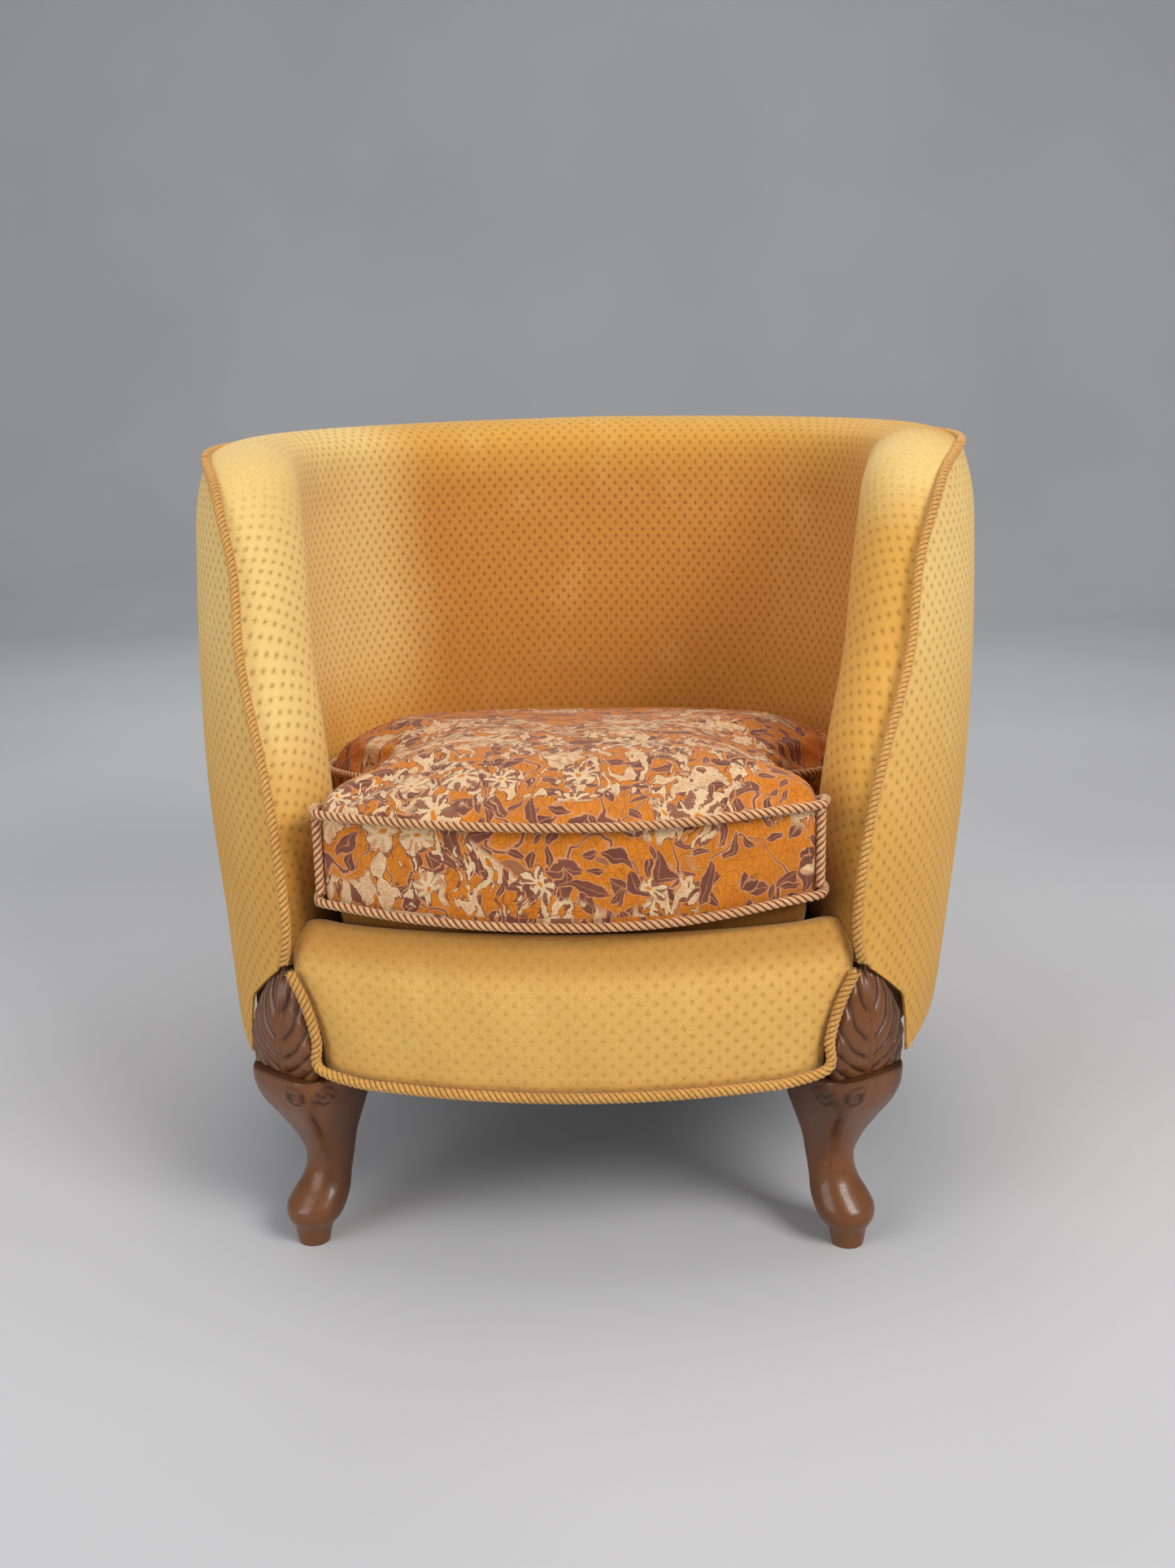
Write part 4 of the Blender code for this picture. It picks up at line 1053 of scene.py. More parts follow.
def foot_line(rows):
    """Where each row's column ends: at the line behind the cushion, and lower at the fronts of the arms."""
    angle, z = rows.T
    front = smoothstep(0.66, 0.262, z) * (np.abs(angle) > 100)
    spread = np.where(np.abs(angle) > RIM_CORNER, 0.86 * RIM_CORNER + 40.0 * front, np.abs(angle) * 0.86)
    return np.sign(angle) * spread, 0.286 - 0.026 * front


def soft_swell(angle, z):
    """Slight unevenness of the stuffing: two crossing low waves, in metres."""
    turn = np.radians(angle)
    wave = 0.0010 * np.sin(5.3 * turn + 9.0 * z) + 0.0008 * np.sin(8.1 * turn - 17.0 * z + 1.1)
    return wave * smoothstep(0.0, 0.08, 0.66 - z)


def cloth_positions(rows, grid, angle, z, outward, low_angle, low_z, returned):
    """Cloth metres: arc and height on the wall, run on past the wall along the roll's own length."""
    roll = angle.shape[1]
    end = np.stack([arc_position(angle[:, -1]), z[:, -1]], axis=-1)
    tangent = wall_point(angle[:, -1] + 0.2, z[:, -1]) - wall_point(angle[:, -1] - 0.2, z[:, -1])
    way = np.stack([(outward * unit(tangent)).sum(-1), outward[:, 2]], axis=-1)
    way = unit(way)
    steps = np.linalg.norm(np.diff(grid[:, :roll], axis=1), axis=-1)
    run = np.cumsum(steps[:, ::-1], axis=1)[:, ::-1]
    run = np.concatenate([run, np.zeros((len(rows), 1))], axis=1)
    rolled = end[:, None] + way[:, None] * run[..., None]
    wall = np.stack([arc_position(low_angle), low_z], axis=-1)
    hidden = np.repeat(wall[:, -1:], returned, axis=1)
    return np.concatenate([rolled, wall, hidden], axis=1)


def store_light_and_wear(piece, **shares):
    """Writes the velvet's painted light, wear and fading at each point; a share that isn't given is 0."""
    for name in VELVET_LIGHT_AND_WEAR:
        layer = piece.data.attributes.new(name, "FLOAT", "POINT")
        values = np.broadcast_to(shares.get(name, 0.0), len(piece.data.vertices))
        layer.data.foreach_set("value", values.astype(np.float32))


def vertices_of(piece):
    places = np.empty(len(piece.data.vertices) * 3, np.float32)
    piece.data.vertices.foreach_get("co", places)
    return places.reshape(-1, 3).astype(float)


class ARMCHAIR_OT_inside_velvet(bpy.types.Operator):
    """Covers the inside back, both inside arms and the stuffed rolls in one continuous skin of velvet"""

    bl_idname = "armchair.inside_velvet"
    bl_label = "Inside velvet"

    def execute(self, context):
        settings = context.scene.armchair_sizes
        _, grid, cloth = inside_grid(settings)
        piece = loop_piece("inside_velvet", grid, FINISHES["velvet"], fabric=cloth)
        at = vertices_of(piece)
        turn, z = np.abs(wall_angle(at)), at[:, 2]
        left = smoothstep(0.1, -0.1, at[:, 0])
        behind = smoothstep(70.0, 40.0, turn) * left + smoothstep(112.0, 84.0, turn) * (1 - left)
        # Painted shade over the back below the rim; on the right it reaches further round, over the inside
        # arm turned away from the key light.
        back_shade = behind * smoothstep(0.685, 0.60, z)
        # Painted highlight: the rim corners, and the left inside arm, which faces the key light.
        corner = smoothstep(92.0, 114.0, turn) * smoothstep(0.58, 0.655, z)
        lit_inside_arm = smoothstep(40.0, 62.0, turn) * smoothstep(0.36, 0.46, z) * (0.92 * left + 0.06)
        # Darker worn brown low on the back; crushed pile and painted shade low at the arms' fronts beside the
        # cushion; flecks show less in the painted highlight at the corners.
        store_light_and_wear(piece, warm=back_shade, pale=np.maximum(corner, lit_inside_arm),
                   worn=behind * smoothstep(0.52, 0.36, z) * 0.55,
                   crushed=smoothstep(0.37, 0.31, z) * smoothstep(-0.10, -0.24, at[:, 1]),
                   faded=corner)
        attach(piece, "frame")
        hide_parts("inside_back", "rim_roll", *(f"{part}_{side}" for side, _ in SIDES
                                                        for part in ("inside_arm", "arm_front_roll")))
        return {"FINISHED"}


def cover_grid(top, bottom, rows):
    """Points of a cover whose columns run straight in (angle, height) from its top edge to its bottom."""
    share = np.linspace(0, 1, rows)[None, :, None]
    wall = top[:, None] * (1 - share) + bottom[:, None] * share
    angle, z = wall[..., 0], wall[..., 1]
    edge = np.minimum(share[..., 0], 1 - share[..., 0])
    swell = 0.0006 * smoothstep(0.0, 0.10, edge)
    outer = wall_point(angle, z, 0.0006 - swell)
    inner = wall_point(angle, z, 0.0026)
    flat = np.stack([arc_position(angle), z], axis=-1)
    return sheet_grid(outer, inner), sheet_grid(flat, flat)


class ARMCHAIR_OT_outside_covers(bpy.types.Operator):
    """Stretches the three outside covers: one round the back and one on each arm"""

    bl_idname = "armchair.outside_covers"
    bl_label = "Outside covers"

    def execute(self, context):
        rows = 60
        curve = edge_curve()
        half = curve[:500]
        over = curve[(np.abs(curve[:, 0]) <= SIDE_SEAM - 0.1) & (curve[:, 1] > 0.6)]
        over = resampled(over * (DEGREES_TO_SPAN, 1), np.linspace(0, 1, 110)) / (DEGREES_TO_SPAN, 1)
        low = np.stack([over[:, 0], np.full(len(over), BODY_BOTTOM)], axis=-1)
        self.cover("outside_back_velvet", over, low, rows, ("outside_back",), ("back_rail", "top_rail"))
        for side, sign in SIDES:
            arm = half[(np.abs(half[:, 0]) >= SIDE_SEAM) | (half[:, 1] < 0.6)] * (DEGREES_TO_SPAN, 1)
            arm = resampled(arm, np.linspace(0, 1, 120)) / (DEGREES_TO_SPAN, 1)
            arm = arm * (-sign, 1)
            share = np.linspace(0, 1, len(arm))
            foot = np.interp(share, (0, 0.45, 1), (125.4, 96.0, SIDE_SEAM)) * sign
            low = np.stack([foot, np.full(len(arm), BODY_BOTTOM)], axis=-1)
            self.cover(f"outside_arm_velvet_{side}", arm, low, rows, (f"outside_arm_{side}",),
                       (f"side_rail_{side}", f"arm_rail_{side}"))
        return {"FINISHED"}

    def cover(self, name, top, bottom, rows, nodes, frame_nodes):
        grid, flat = cover_grid(top, bottom, rows)
        piece = loop_piece(name, grid, FINISHES["velvet"], fabric=flat, sharp=40)
        at = vertices_of(piece)
        # Darker brown towards the bottom; paler towards the top is painted light, as if lit from above.
        store_light_and_wear(piece, worn=smoothstep(0.24, 0.168, at[:, 2]) * 0.25,
                   pale=smoothstep(0.30, 0.60, at[:, 2]) * 0.95)
        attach(piece, "frame")
        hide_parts(*nodes)


def border_section():
    """One section of the front border: up the face, over the top roll, down the back."""
    heights = np.array([row[0] for row in BORDER_LEVELS])
    rolled = np.array([row[2] for row in BORDER_LEVELS])
    face_z = np.linspace(heights[0], heights[-1], 34)
    belly = np.sin(math.pi * np.clip((face_z - 0.17) / 0.125, 0, 1))
    face_y = np.interp(face_z, heights, rolled) - 0.0028 * belly
    turn = np.linspace(0, math.pi, 14)[1:]
    crest_y = face_y[-1] + 0.0075 * (1 - np.cos(turn))
    crest_z = heights[-1] + 0.0035 * np.sin(turn)
    back_z = np.linspace(heights[-1] - 0.004, heights[0], 12)
    back_y = np.full(12, 0.031)
    y = np.concatenate([face_y, crest_y, back_y])
    z = np.concatenate([face_z, crest_z, back_z])
    return y, z


class ARMCHAIR_OT_front_border(bpy.types.Operator):
    """Pads the bowed front border under the cushion"""

    bl_idname = "armchair.front_border"
    bl_label = "Front border"

    def execute(self, context):
        y, z = border_section()
        levels = np.array(BORDER_LEVELS)
        half = np.interp(z, levels[:, 0], levels[:, 1])
        across = np.linspace(-1, 1, 121)
        across = np.sin(across * math.pi / 2) * 0.35 + across * 0.65
        x = across[:, None] * half[None, :]
        backwards = smoothstep(0.010, 0.031, y)[None, :]
        x = x * (1 - 0.11 * backwards)
        rounding = 0.0075 * np.abs(across[:, None]) ** 14
        front = BORDER_FRONT + BORDER_BOW * x**2 + np.minimum(y[None, :] + rounding, 0.031)
        swell = 0.0012 * np.sin(9.0 * across[:, None] * 2.2 + 40.0 * z[None, :]) * (1 - backwards)
        crown = 0.0022 * np.cos(across[:, None] * math.pi / 2) * smoothstep(0.289, 0.300, z)[None, :]
        grid = np.stack([x, front + swell * 0.5, np.broadcast_to(z[None, :], x.shape) + crown], axis=-1)
        steps = np.concatenate([[0.0], np.cumsum(np.hypot(np.diff(y), np.diff(z)))])
        cloth = np.stack([x, np.broadcast_to(steps[None, :] + 1.0, x.shape)], axis=-1)
        piece = loop_piece("front_border_velvet", grid, FINISHES["velvet"], fabric=cloth)
        at = vertices_of(piece)
        # Brown along the top roll, under the cushion's overhang, is wear and painted shade; the paler ground
        # all over is painted light; flecks show less, more so to the left.
        store_light_and_wear(piece, worn=smoothstep(0.262, 0.290, at[:, 2]) * 0.8, pale=0.35,
                   faded=0.72 - 0.35 * smoothstep(-0.02, 0.16, at[:, 0]))
        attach(piece, "frame")
        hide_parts("front_border")
        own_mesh(piece)
        return {"FINISHED"}


class ARMCHAIR_OT_seam_cords(bpy.types.Operator):
    """Sews the twisted gold cord into the seam of the arms and rim, and round the front border"""

    bl_idname = "armchair.seam_cords"
    bl_label = "Seam cords"

    def execute(self, context):
        sizes = context.scene.armchair_sizes
        foot, corner = edge_share(0.270), edge_share(0.6645)
        spans = (("arm_cord_left", foot, corner), ("rim_cord", corner + 0.002, 2 - corner - 0.002),
                 ("arm_cord_right", 2 - corner, 2 - foot))
        for name, first, last in spans:
            rows = edge_between(first, last, 0.004)
            place, normal, _, along = edge_frames(rows)
            proud = smoothstep(0.655, 0.615, rows[:, 1:])
            route = place + sloped_outward(rows, along) * (CORD_RADIUS * (0.75 + 0.90 * proud))
            route = route + normal * 0.0012 * proud
            self.cord(name + "_twist", route, normal, sizes, name)
        self.cord("border_cord_twist", border_cord_route(), (0.0, -1.0, 0.0), sizes, "border_cord")
        return {"FINISHED"}

    def cord(self, name, route, reference, sizes, node):
        piece = twisted_cord(name, route, CORD_RADIUS * CORD_FULLNESS, sizes.cord_pitch, FINISHES["cord"],
                             reference)
        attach(piece, "frame")
        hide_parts(node)


def border_cord_route():
    """Down one side of the border, along its bottom edge and up the other side."""
    reach = CORD_RADIUS + 0.0008
    levels = np.array(BORDER_LEVELS)
    z = np.array([0.2620, 0.2350, 0.2050, 0.1800])
    half = np.interp(z, levels[:, 0], levels[:, 1])
    side = np.stack([half + 0.0015, BORDER_FRONT + BORDER_BOW * half**2 - reach - 0.002, z], axis=-1)
    x = np.linspace(1, -1, 15)[1:-1] * levels[0, 1]
    bottom = np.stack([x, BORDER_FRONT + BORDER_BOW * x**2 - reach, np.full(len(x), 0.1712)], axis=-1)
    corners = np.vstack([side, bottom, side[::-1] * (-1, 1, 1)])
    return curve_along(corners, np.linspace(0, 1, 300))


# ---------------------------------------------------------------- cushion

CUSHION_BOTTOM = 0.3175
CUSHION_SEAM_LOW = 0.3225
CUSHION_SEAM_HIGH = 0.3960
CUSHION_FRONT = -0.3757
CUSHION_CORD = 0.0042 * 0.90
CUSHION_FALL = ((-0.19, 0.0), (0.23, 0.052))
CUSHION_MIDDLE_Y = -0.07
WAIST_X = 0.1870
CORNER = (0.2052, -0.328)
CLEAR_HEIGHTS = (0.2825, 0.631)
CLEARANCE = 0.0125


def clear_reach(turns, clearance):
    """Least level distance, over the heights it is lifted past, from the tub's centre to the inner wall."""
    angle = np.arange(0.0, 146.0, 5.0)
    reaches = []
    for z in np.linspace(*CLEAR_HEIGHTS, 12):
        ring = wall_point(angle, np.full(len(angle), z), wall_depth(angle, z) + clearance)
        x, y = ring[:, 0], ring[:, 1] - TUB_CENTRE_Y
        reaches.append(np.interp(turns, np.degrees(np.arctan2(x, y)), np.hypot(x, y)))
    return np.min(reaches, axis=0)


def cushion_outline(count=260):
    """Plan of the cushion: inside the tub's wall, in to a waist between the arms, out to two corners."""
    turns = np.arange(0, 136, 9)
    reach = clear_reach(turns, CLEARANCE)
    way = np.radians(turns)
    wall = np.stack([reach * np.sin(way), TUB_CENTRE_Y + reach * np.cos(way)], axis=-1)
    x, y = CORNER
    corner = [(WAIST_X, -0.215), (WAIST_X, -0.250), (x, y + 0.030), (x - 0.001, y + 0.006),
              (x - 0.008, y - 0.004)]
    front_x = np.array((0.165, 0.120, 0.080, 0.040, 0.0))
    bow = (y - 0.004 - CUSHION_FRONT) / (x - 0.008) ** 2
    front = np.stack([front_x, CUSHION_FRONT + bow * front_x**2], axis=-1)
    half = np.vstack([wall, corner, front])
    whole = np.vstack([half, half[-2:0:-1] * (-1, 1)])
    closed = np.vstack([whole[-3:], whole, whole[:3]])
    fine = curve_along(closed, np.linspace(0, 1, count * 6))
    start = np.argmin(np.linalg.norm(fine[:count * 2] - whole[0], axis=1))
    stop = len(fine) - 1 - np.argmin(np.linalg.norm(fine[:-count * 2:-1] - whole[0], axis=1))
    return resampled(fine[start:stop + 1], np.linspace(0, 1, count + 1)[:-1])


def grown(outline, distance):
    """A closed plan outline moved outwards along its own normals."""
    along = unit(np.roll(outline, -1, axis=0) - np.roll(outline, 1, axis=0))
    return outline + np.stack([-along[:, 1], along[:, 0]], axis=-1) * distance


def fallen(x, y, z):
    """Heights as the cushion has settled: lower to the back, its side seams drawn down, its front sagging.

    The right front corner is lifted a little.
    """
    back = np.clip((y - CUSHION_FALL[0][0]) / (CUSHION_FALL[1][0] - CUSHION_FALL[0][0]), 0, 1)
    height = np.clip((z - CUSHION_SEAM_LOW) / (CUSHION_SEAM_HIGH - CUSHION_SEAM_LOW), 0, 1)
    drawn = 0.016 * smoothstep(-0.318, -0.250, y) * np.exp(-(((z - CUSHION_SEAM_HIGH) / 0.012) ** 2))
    corner = smoothstep(0.06, 0.20, x) * smoothstep(-0.20, -0.34, y)
    sag = 0.0065 * smoothstep(-0.325, -0.358, y) * (1 - height) * np.clip(1 - (x / 0.20) ** 2, 0, 1)
    return z - CUSHION_FALL[1][1] * back * height - drawn + 0.0045 * corner - sag


def cushion_shell(inset):
    """The cushion before it is filled: boxing between two seams, a low crown above and a flat base."""
    outline = grown(cushion_outline(), -inset)
    levels = (
        *((scale, CUSHION_BOTTOM) for scale in (0.30, 0.80, 0.955, 0.980)), (0.994, CUSHION_SEAM_LOW),
        (0.997, 0.334), (1.0, 0.346), (1.0, 0.372), (0.999, 0.385), (0.994, CUSHION_SEAM_HIGH),
        (0.989, 0.4030), (0.974, 0.4090), (0.948, 0.4138), (0.905, 0.4174), (0.84, 0.4200), (0.74, 0.4215),
        (0.60, 0.4222), (0.40, 0.4225), (0.20, 0.4225),
    )
    rings = []
    for scale, z in levels:
        x = outline[:, 0] * scale
        y = CUSHION_MIDDLE_Y + (outline[:, 1] - CUSHION_MIDDLE_Y) * scale
        rings.append(np.stack([x, y, fallen(x, y, np.full(len(x), z))], axis=-1))
    return np.stack(rings)


def fill_cushion(piece, cap, voxel=0.0055):
    """Blows the cushion up as cloth: its seams are held, and no point moves further than the cap."""
    remesh = piece.modifiers.new("Remesh", "REMESH")
    remesh.mode = "VOXEL"
    remesh.voxel_size = voxel
    apply_modifier(piece, remesh)
    before = vertices_of(piece)
    seams = piece.vertex_groups.new(name="seams")
    seam = fallen(before[:, 0], before[:, 1], np.full(len(before), CUSHION_SEAM_HIGH))
    high = np.abs(before[:, 2] - seam) < 0.004
    low = before[:, 2] < CUSHION_SEAM_LOW + 0.001
    outline = grown(cushion_outline(), -0.012)
    reach = np.hypot(before[:, 0], before[:, 1] - CUSHION_MIDDLE_Y)
    turn = np.arctan2(before[:, 0], before[:, 1] - CUSHION_MIDDLE_Y)
    order = np.argsort(np.arctan2(outline[:, 0], outline[:, 1] - CUSHION_MIDDLE_Y))
    edge = np.interp(turn, np.arctan2(outline[order, 0], outline[order, 1] - CUSHION_MIDDLE_Y),
                     np.hypot(outline[order, 0], outline[order, 1] - CUSHION_MIDDLE_Y), period=math.tau)
    held = np.flatnonzero((high & (reach > edge)) | low)
    seams.add(held.tolist(), 1.0, "REPLACE")
    cloth = piece.modifiers.new("Cloth", "CLOTH")
    cloth.settings.quality = 6
    cloth.settings.mass = 0.3
    cloth.settings.tension_stiffness = 12
    cloth.settings.compression_stiffness = 12
    cloth.settings.bending_stiffness = 0.4
    cloth.settings.use_pressure = True
    cloth.settings.uniform_pressure_force = 4.0
    cloth.settings.effector_weights.gravity = 0.0
    cloth.settings.vertex_group_mass = "seams"
    cloth.point_cache.frame_start = 1
    cloth.point_cache.frame_end = 20
    for moment in range(1, 21):
        bpy.context.scene.frame_set(moment)
    apply_modifier(piece, cloth)
    bpy.context.scene.frame_set(1)
    after = vertices_of(piece)
    moved = after - before
    far = np.linalg.norm(moved, axis=1, keepdims=True)
    settled = before + moved * np.minimum(1.0, cap / np.maximum(far, 1e-9))
    piece.data.vertices.foreach_set("co", settled.astype(np.float32).ravel())


def apply_modifier(piece, modifier):
    """Bakes a modifier into the mesh as the scene evaluates it now."""
    graph = bpy.context.evaluated_depsgraph_get()
    made = bpy.data.meshes.new_from_object(piece.evaluated_get(graph), preserve_all_data_layers=True,
                                           depsgraph=graph)
    piece.modifiers.remove(modifier)
    old = piece.data
    piece.data = made
    bpy.data.meshes.remove(old)


def drape_cushion_cloth(piece):
    """Cloth positions per face corner: the top and base read from above, and the boxing along its run."""
    mesh = piece.data
    at = vertices_of(piece)
    outline = cushion_outline(400)
    run = np.concatenate([[0.0], np.cumsum(np.linalg.norm(np.diff(outline, axis=0), axis=1))])
    turn = np.arctan2(outline[:, 0], -(outline[:, 1] - CUSHION_MIDDLE_Y))
    order = np.argsort(turn)
    at_turn = np.arctan2(at[:, 0], -(at[:, 1] - CUSHION_MIDDLE_Y))
    along = np.interp(at_turn, turn[order], (run - run[len(run) // 2])[order])
    corners = np.empty(len(mesh.loops), np.int32)
    mesh.loops.foreach_get("vertex_index", corners)
    owner = np.repeat(np.arange(len(mesh.polygons)), [len(face.vertices) for face in mesh.polygons])
    middle = np.stack([np.bincount(owner, at[corners][:, k]) for k in range(3)], axis=-1)
    middle /= np.bincount(owner)[:, None]
    seam = fallen(middle[:, 0], middle[:, 1], np.full(len(middle), CUSHION_SEAM_HIGH))
    boxing = (middle[:, 2] < seam) & (middle[:, 2] > CUSHION_SEAM_LOW - 0.001)
    base = middle[:, 2] <= CUSHION_SEAM_LOW - 0.001
    flat = np.where(boxing[owner][:, None], np.stack([along[corners], at[corners, 2] + 0.7], axis=-1),
                    at[corners][:, :2])
    flat = flat + base[owner][:, None] * 2.0
    layer = mesh.uv_layers.new(name="fabric")
    layer.data.foreach_set("uv", flat.astype(np.float32).ravel())


class ARMCHAIR_OT_cushion(bpy.types.Operator):
    """Fills the loose box cushion"""

    bl_idname = "armchair.cushion"
    bl_label = "Loose cushion"

    def execute(self, context):
        sizes = context.scene.armchair_sizes
        piece = loop_piece("cushion_cover", cushion_shell(sizes.cushion_inset), FINISHES["cushion"])
        fill_cushion(piece, sizes.cushion_cap)
        finer = piece.modifiers.new("Subdivision", "SUBSURF")
        finer.levels = finer.render_levels = 1
        apply_modifier(piece, finer)
        piece.data.shade_smooth()
        if not piece.data.materials:
            piece.data.materials.append(FINISHES["cushion"])
        drape_cushion_cloth(piece)
        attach(piece, "cushion")
        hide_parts("seat_cushion")
        return {"FINISHED"}


class ARMCHAIR_OT_cushion_cords(bpy.types.Operator):
    """Sews the two-tone cord round the cushion's seams and down its front corners"""

    bl_idname = "armchair.cushion_cords"
    bl_label = "Cushion cords"

    def execute(self, context):
        sizes = context.scene.armchair_sizes
        outline = grown(cushion_outline(), 0.0032)
        normal = np.column_stack([unit(grown(outline, 1.0) - outline), np.zeros(len(outline))])
        for node, z in (("cushion_cord_top", CUSHION_SEAM_HIGH + 0.002),
                        ("cushion_cord_bottom", CUSHION_SEAM_LOW)):
            height = fallen(outline[:, 0], outline[:, 1], np.full(len(outline), z))
            self.cord(node, np.column_stack([outline, height]), normal, sizes, True)
        corner = outline[np.argmax(outline[:, 0] - outline[:, 1])] - (0.0012, -0.0012)
        for side, sign in SIDES:
            z = np.linspace(0.3285, 0.3942, 24)
            route = np.stack([np.full(24, corner[0] * sign), np.full(24, corner[1]), z], axis=-1)
            route[:, 2] = fallen(route[:, 0], route[:, 1], z)
            self.cord(f"cushion_cord_{side}", route, (sign * 0.7, -0.7, 0.0), sizes, False)
        return {"FINISHED"}

    def cord(self, node, route, reference, sizes, closed):
        piece = twisted_cord(node + "_twist", route, CUSHION_CORD, sizes.cushion_cord_pitch,
                             FINISHES["cushion_cord"], reference, closed=closed)
        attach(piece, "cushion")
        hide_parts(node)


# ---------------------------------------------------------------- walnut


def leg_grid(sign, rows=90, columns=72):
    """The front leg: squared rings whose middle swings along the outward diagonal in an S, with a carved ear.

    Each ring's reach is its half size, times the square's own reach where it isn't rounded. Near the top an
    incised line sets off a scroll on each side of the front corner.
    """
    levels = np.array(LEG_LEVELS)
    z = curve_along(np.column_stack([levels[:, 0], levels[:, 0]]), np.linspace(0, 1, rows))[:, 0]
    offset, half, rounded = (curve_through(levels[:, (0, k)], z) for k in (1, 2, 3))
    rounded = np.clip(rounded, 0, 1)
    turn = math.tau * (np.arange(columns) + 0.5) / columns
    square = 1.0 / np.maximum(np.abs(np.cos(turn)), np.abs(np.sin(turn)))
    square = np.minimum(square, 1.25) - 0.035 * smoothstep(1.15, 1.25, square)
    reach = half[:, None] * (rounded[:, None] + (1 - rounded[:, None]) * square[None, :])
    carved, hollow = leg_carving(z, turn)
    reach = reach + carved
    out = np.array(LEG_OUT)
    across = np.array(LEG_ACROSS)
    centre = np.array((*LEG_AXIS, 0.0)) + out * offset[:, None] + np.array((0, 0, 1.0)) * z[:, None]
    way = out * np.cos(turn)[:, None] + across * np.sin(turn)[:, None]
    grid = centre[:, None] + way[None] * reach[..., None]
    return grid * (sign, 1, 1), hollow


def leg_carving(z, turn):
    """Relief on the leg: two scrolls beside the front corner under the joint, and a line down from them.

    Each scroll is a spiral groove about its eye; the line swings down between them.
    """
    corner = math.radians(-45.0)
    side = (np.mod(turn - corner + math.pi, math.tau) - math.pi)[None, :]
    up = z[:, None]
    carved = np.zeros((len(z), len(turn)))
    hollow = np.zeros_like(carved)
    for eye, height, size in ((0.30, 0.153, 0.0115), (-0.27, 0.152, 0.0110)):
        dx = (side - eye) * 0.046
        dz = up - height
        away = np.hypot(dx, dz)
        winding = np.arctan2(dz, dx * np.sign(eye))
        groove = np.sin(away / size * 11.0 + winding)
        near = smoothstep(size, size * 0.75, away)
        carved += near * (0.0011 + 0.0007 * groove)
        hollow += near * smoothstep(0.2, -0.8, groove)
    swing = 0.06 * np.sin((up - 0.08) * 52.0)
    line = np.exp(-(((side - swing) * 0.040) / 0.0016) ** 2) * smoothstep(0.098, 0.112, up)
    line = line * smoothstep(0.158, 0.146, up)
    carved -= 0.0009 * line
    hollow += line
    joint = smoothstep(LEG_TOP - 0.0022, LEG_TOP, up)
    carved -= 0.0012 * joint
    return carved, np.clip(hollow + joint * 0.6, 0, 1)


KNEE_HALF = ((0.1676, 0.0392), (0.1780, 0.0410), (0.1900, 0.0418), (0.2050, 0.0392), (0.2200, 0.0335),
             (0.2350, 0.0255), (0.2480, 0.0165), (0.2580, 0.0075), (0.2640, 0.0010))
KNEE_LINE = ((0.1676, 0.2478, -0.3155), (0.2000, 0.2478, -0.3146), (0.2220, 0.2464, -0.3111),
             (0.2400, 0.2448, -0.3072), (0.2540, 0.2430, -0.3032), (0.2640, 0.2418, -0.3007))


def knee_grid(sign, depth, rows=110, columns=90):
    """The carved knee: a domed leaf whose flutes fan up from its foot and end in lobes at its edge.

    Across a row the face is a dome. A flute is the fractional part of a fan of curves, shaped like a gouge
    cut. A row of curls stands along the edge beside the border, and the outer side is thicker, under the
    cover.
    """
    z = np.linspace(KNEE_HALF[0][0], KNEE_HALF[-1][0], rows)
    half = curve_through(KNEE_HALF, z)
    line = np.stack([curve_through([(row[0], row[k]) for row in KNEE_LINE], z) for k in (1, 2)], axis=-1)
    a = np.linspace(-1, 1, columns)[None, :]
    b = ((z - z[0]) / (z[-1] - z[0]))[:, None]
    fan = b * 5.2 - np.abs(a + 0.12) ** 1.5 * 2.4 + 0.35 * np.sin(b * 5)
    part = fan - np.floor(fan)
    gouge = np.sin(np.pi * part) ** 0.55
    vein = np.exp(-(((a + 0.12) * half[:, None]) / 0.0024) ** 2)
    relief = depth * (gouge - 0.5) * smoothstep(0.02, 0.18, np.abs(a + 0.12)) + 0.9 * depth * vein
    curls = np.sin(b * 15.0) ** 2 * smoothstep(-0.50, -0.80, a) * smoothstep(0.05, 0.15, b)
    relief = (relief * (1 - 0.5 * curls) + curls * depth * 0.8) * smoothstep(1.0, 0.86, np.abs(a))
    dome = 0.0085 * (1 - np.abs(a) ** 2.4) * np.sin(np.pi * np.clip(b * 0.85 + 0.10, 0, 1)) ** 0.6
    lobes = 1 + 0.020 * np.cos(2 * np.pi * (b * 5.2 - 2.4)) * smoothstep(0.0, 0.1, b)
    edge = -0.0035 * smoothstep(0.90, 1.0, np.abs(a))
    out = np.array(LEG_OUT)
    across = np.array(LEG_ACROSS)
    base = np.column_stack([line, z])
    width = half[:, None] * lobes * a
    front = base[:, None] + across * width[..., None] + out * (dome + relief + edge)[..., None]
    thick = 0.0135 + 0.026 * smoothstep(0.0, 1.0, a)
    behind = base[:, None] + across * (half[:, None] * 0.94 * a)[..., None] - out * thick[..., None]
    grid = np.concatenate([front, behind[:, ::-1]], axis=1) * (sign, 1, 1)
    hollow = smoothstep(0.75, 0.15, gouge) * smoothstep(0.02, 0.18, np.abs(a + 0.12))
    hollow = np.clip(hollow + smoothstep(0.93, 1.0, np.abs(a)), 0, 1)
    return grid, np.concatenate([hollow, np.ones_like(hollow)], axis=1)


def store_hollow(piece, values):
    """Point attribute for the darker hollows of carving; caps count as hollow."""
    flat = np.concatenate([values.ravel(), np.ones(len(piece.data.vertices) - values.size)])
    layer = piece.data.attributes.new("hollow", "FLOAT", "POINT")
    layer.data.foreach_set("value", flat.astype(np.float32))


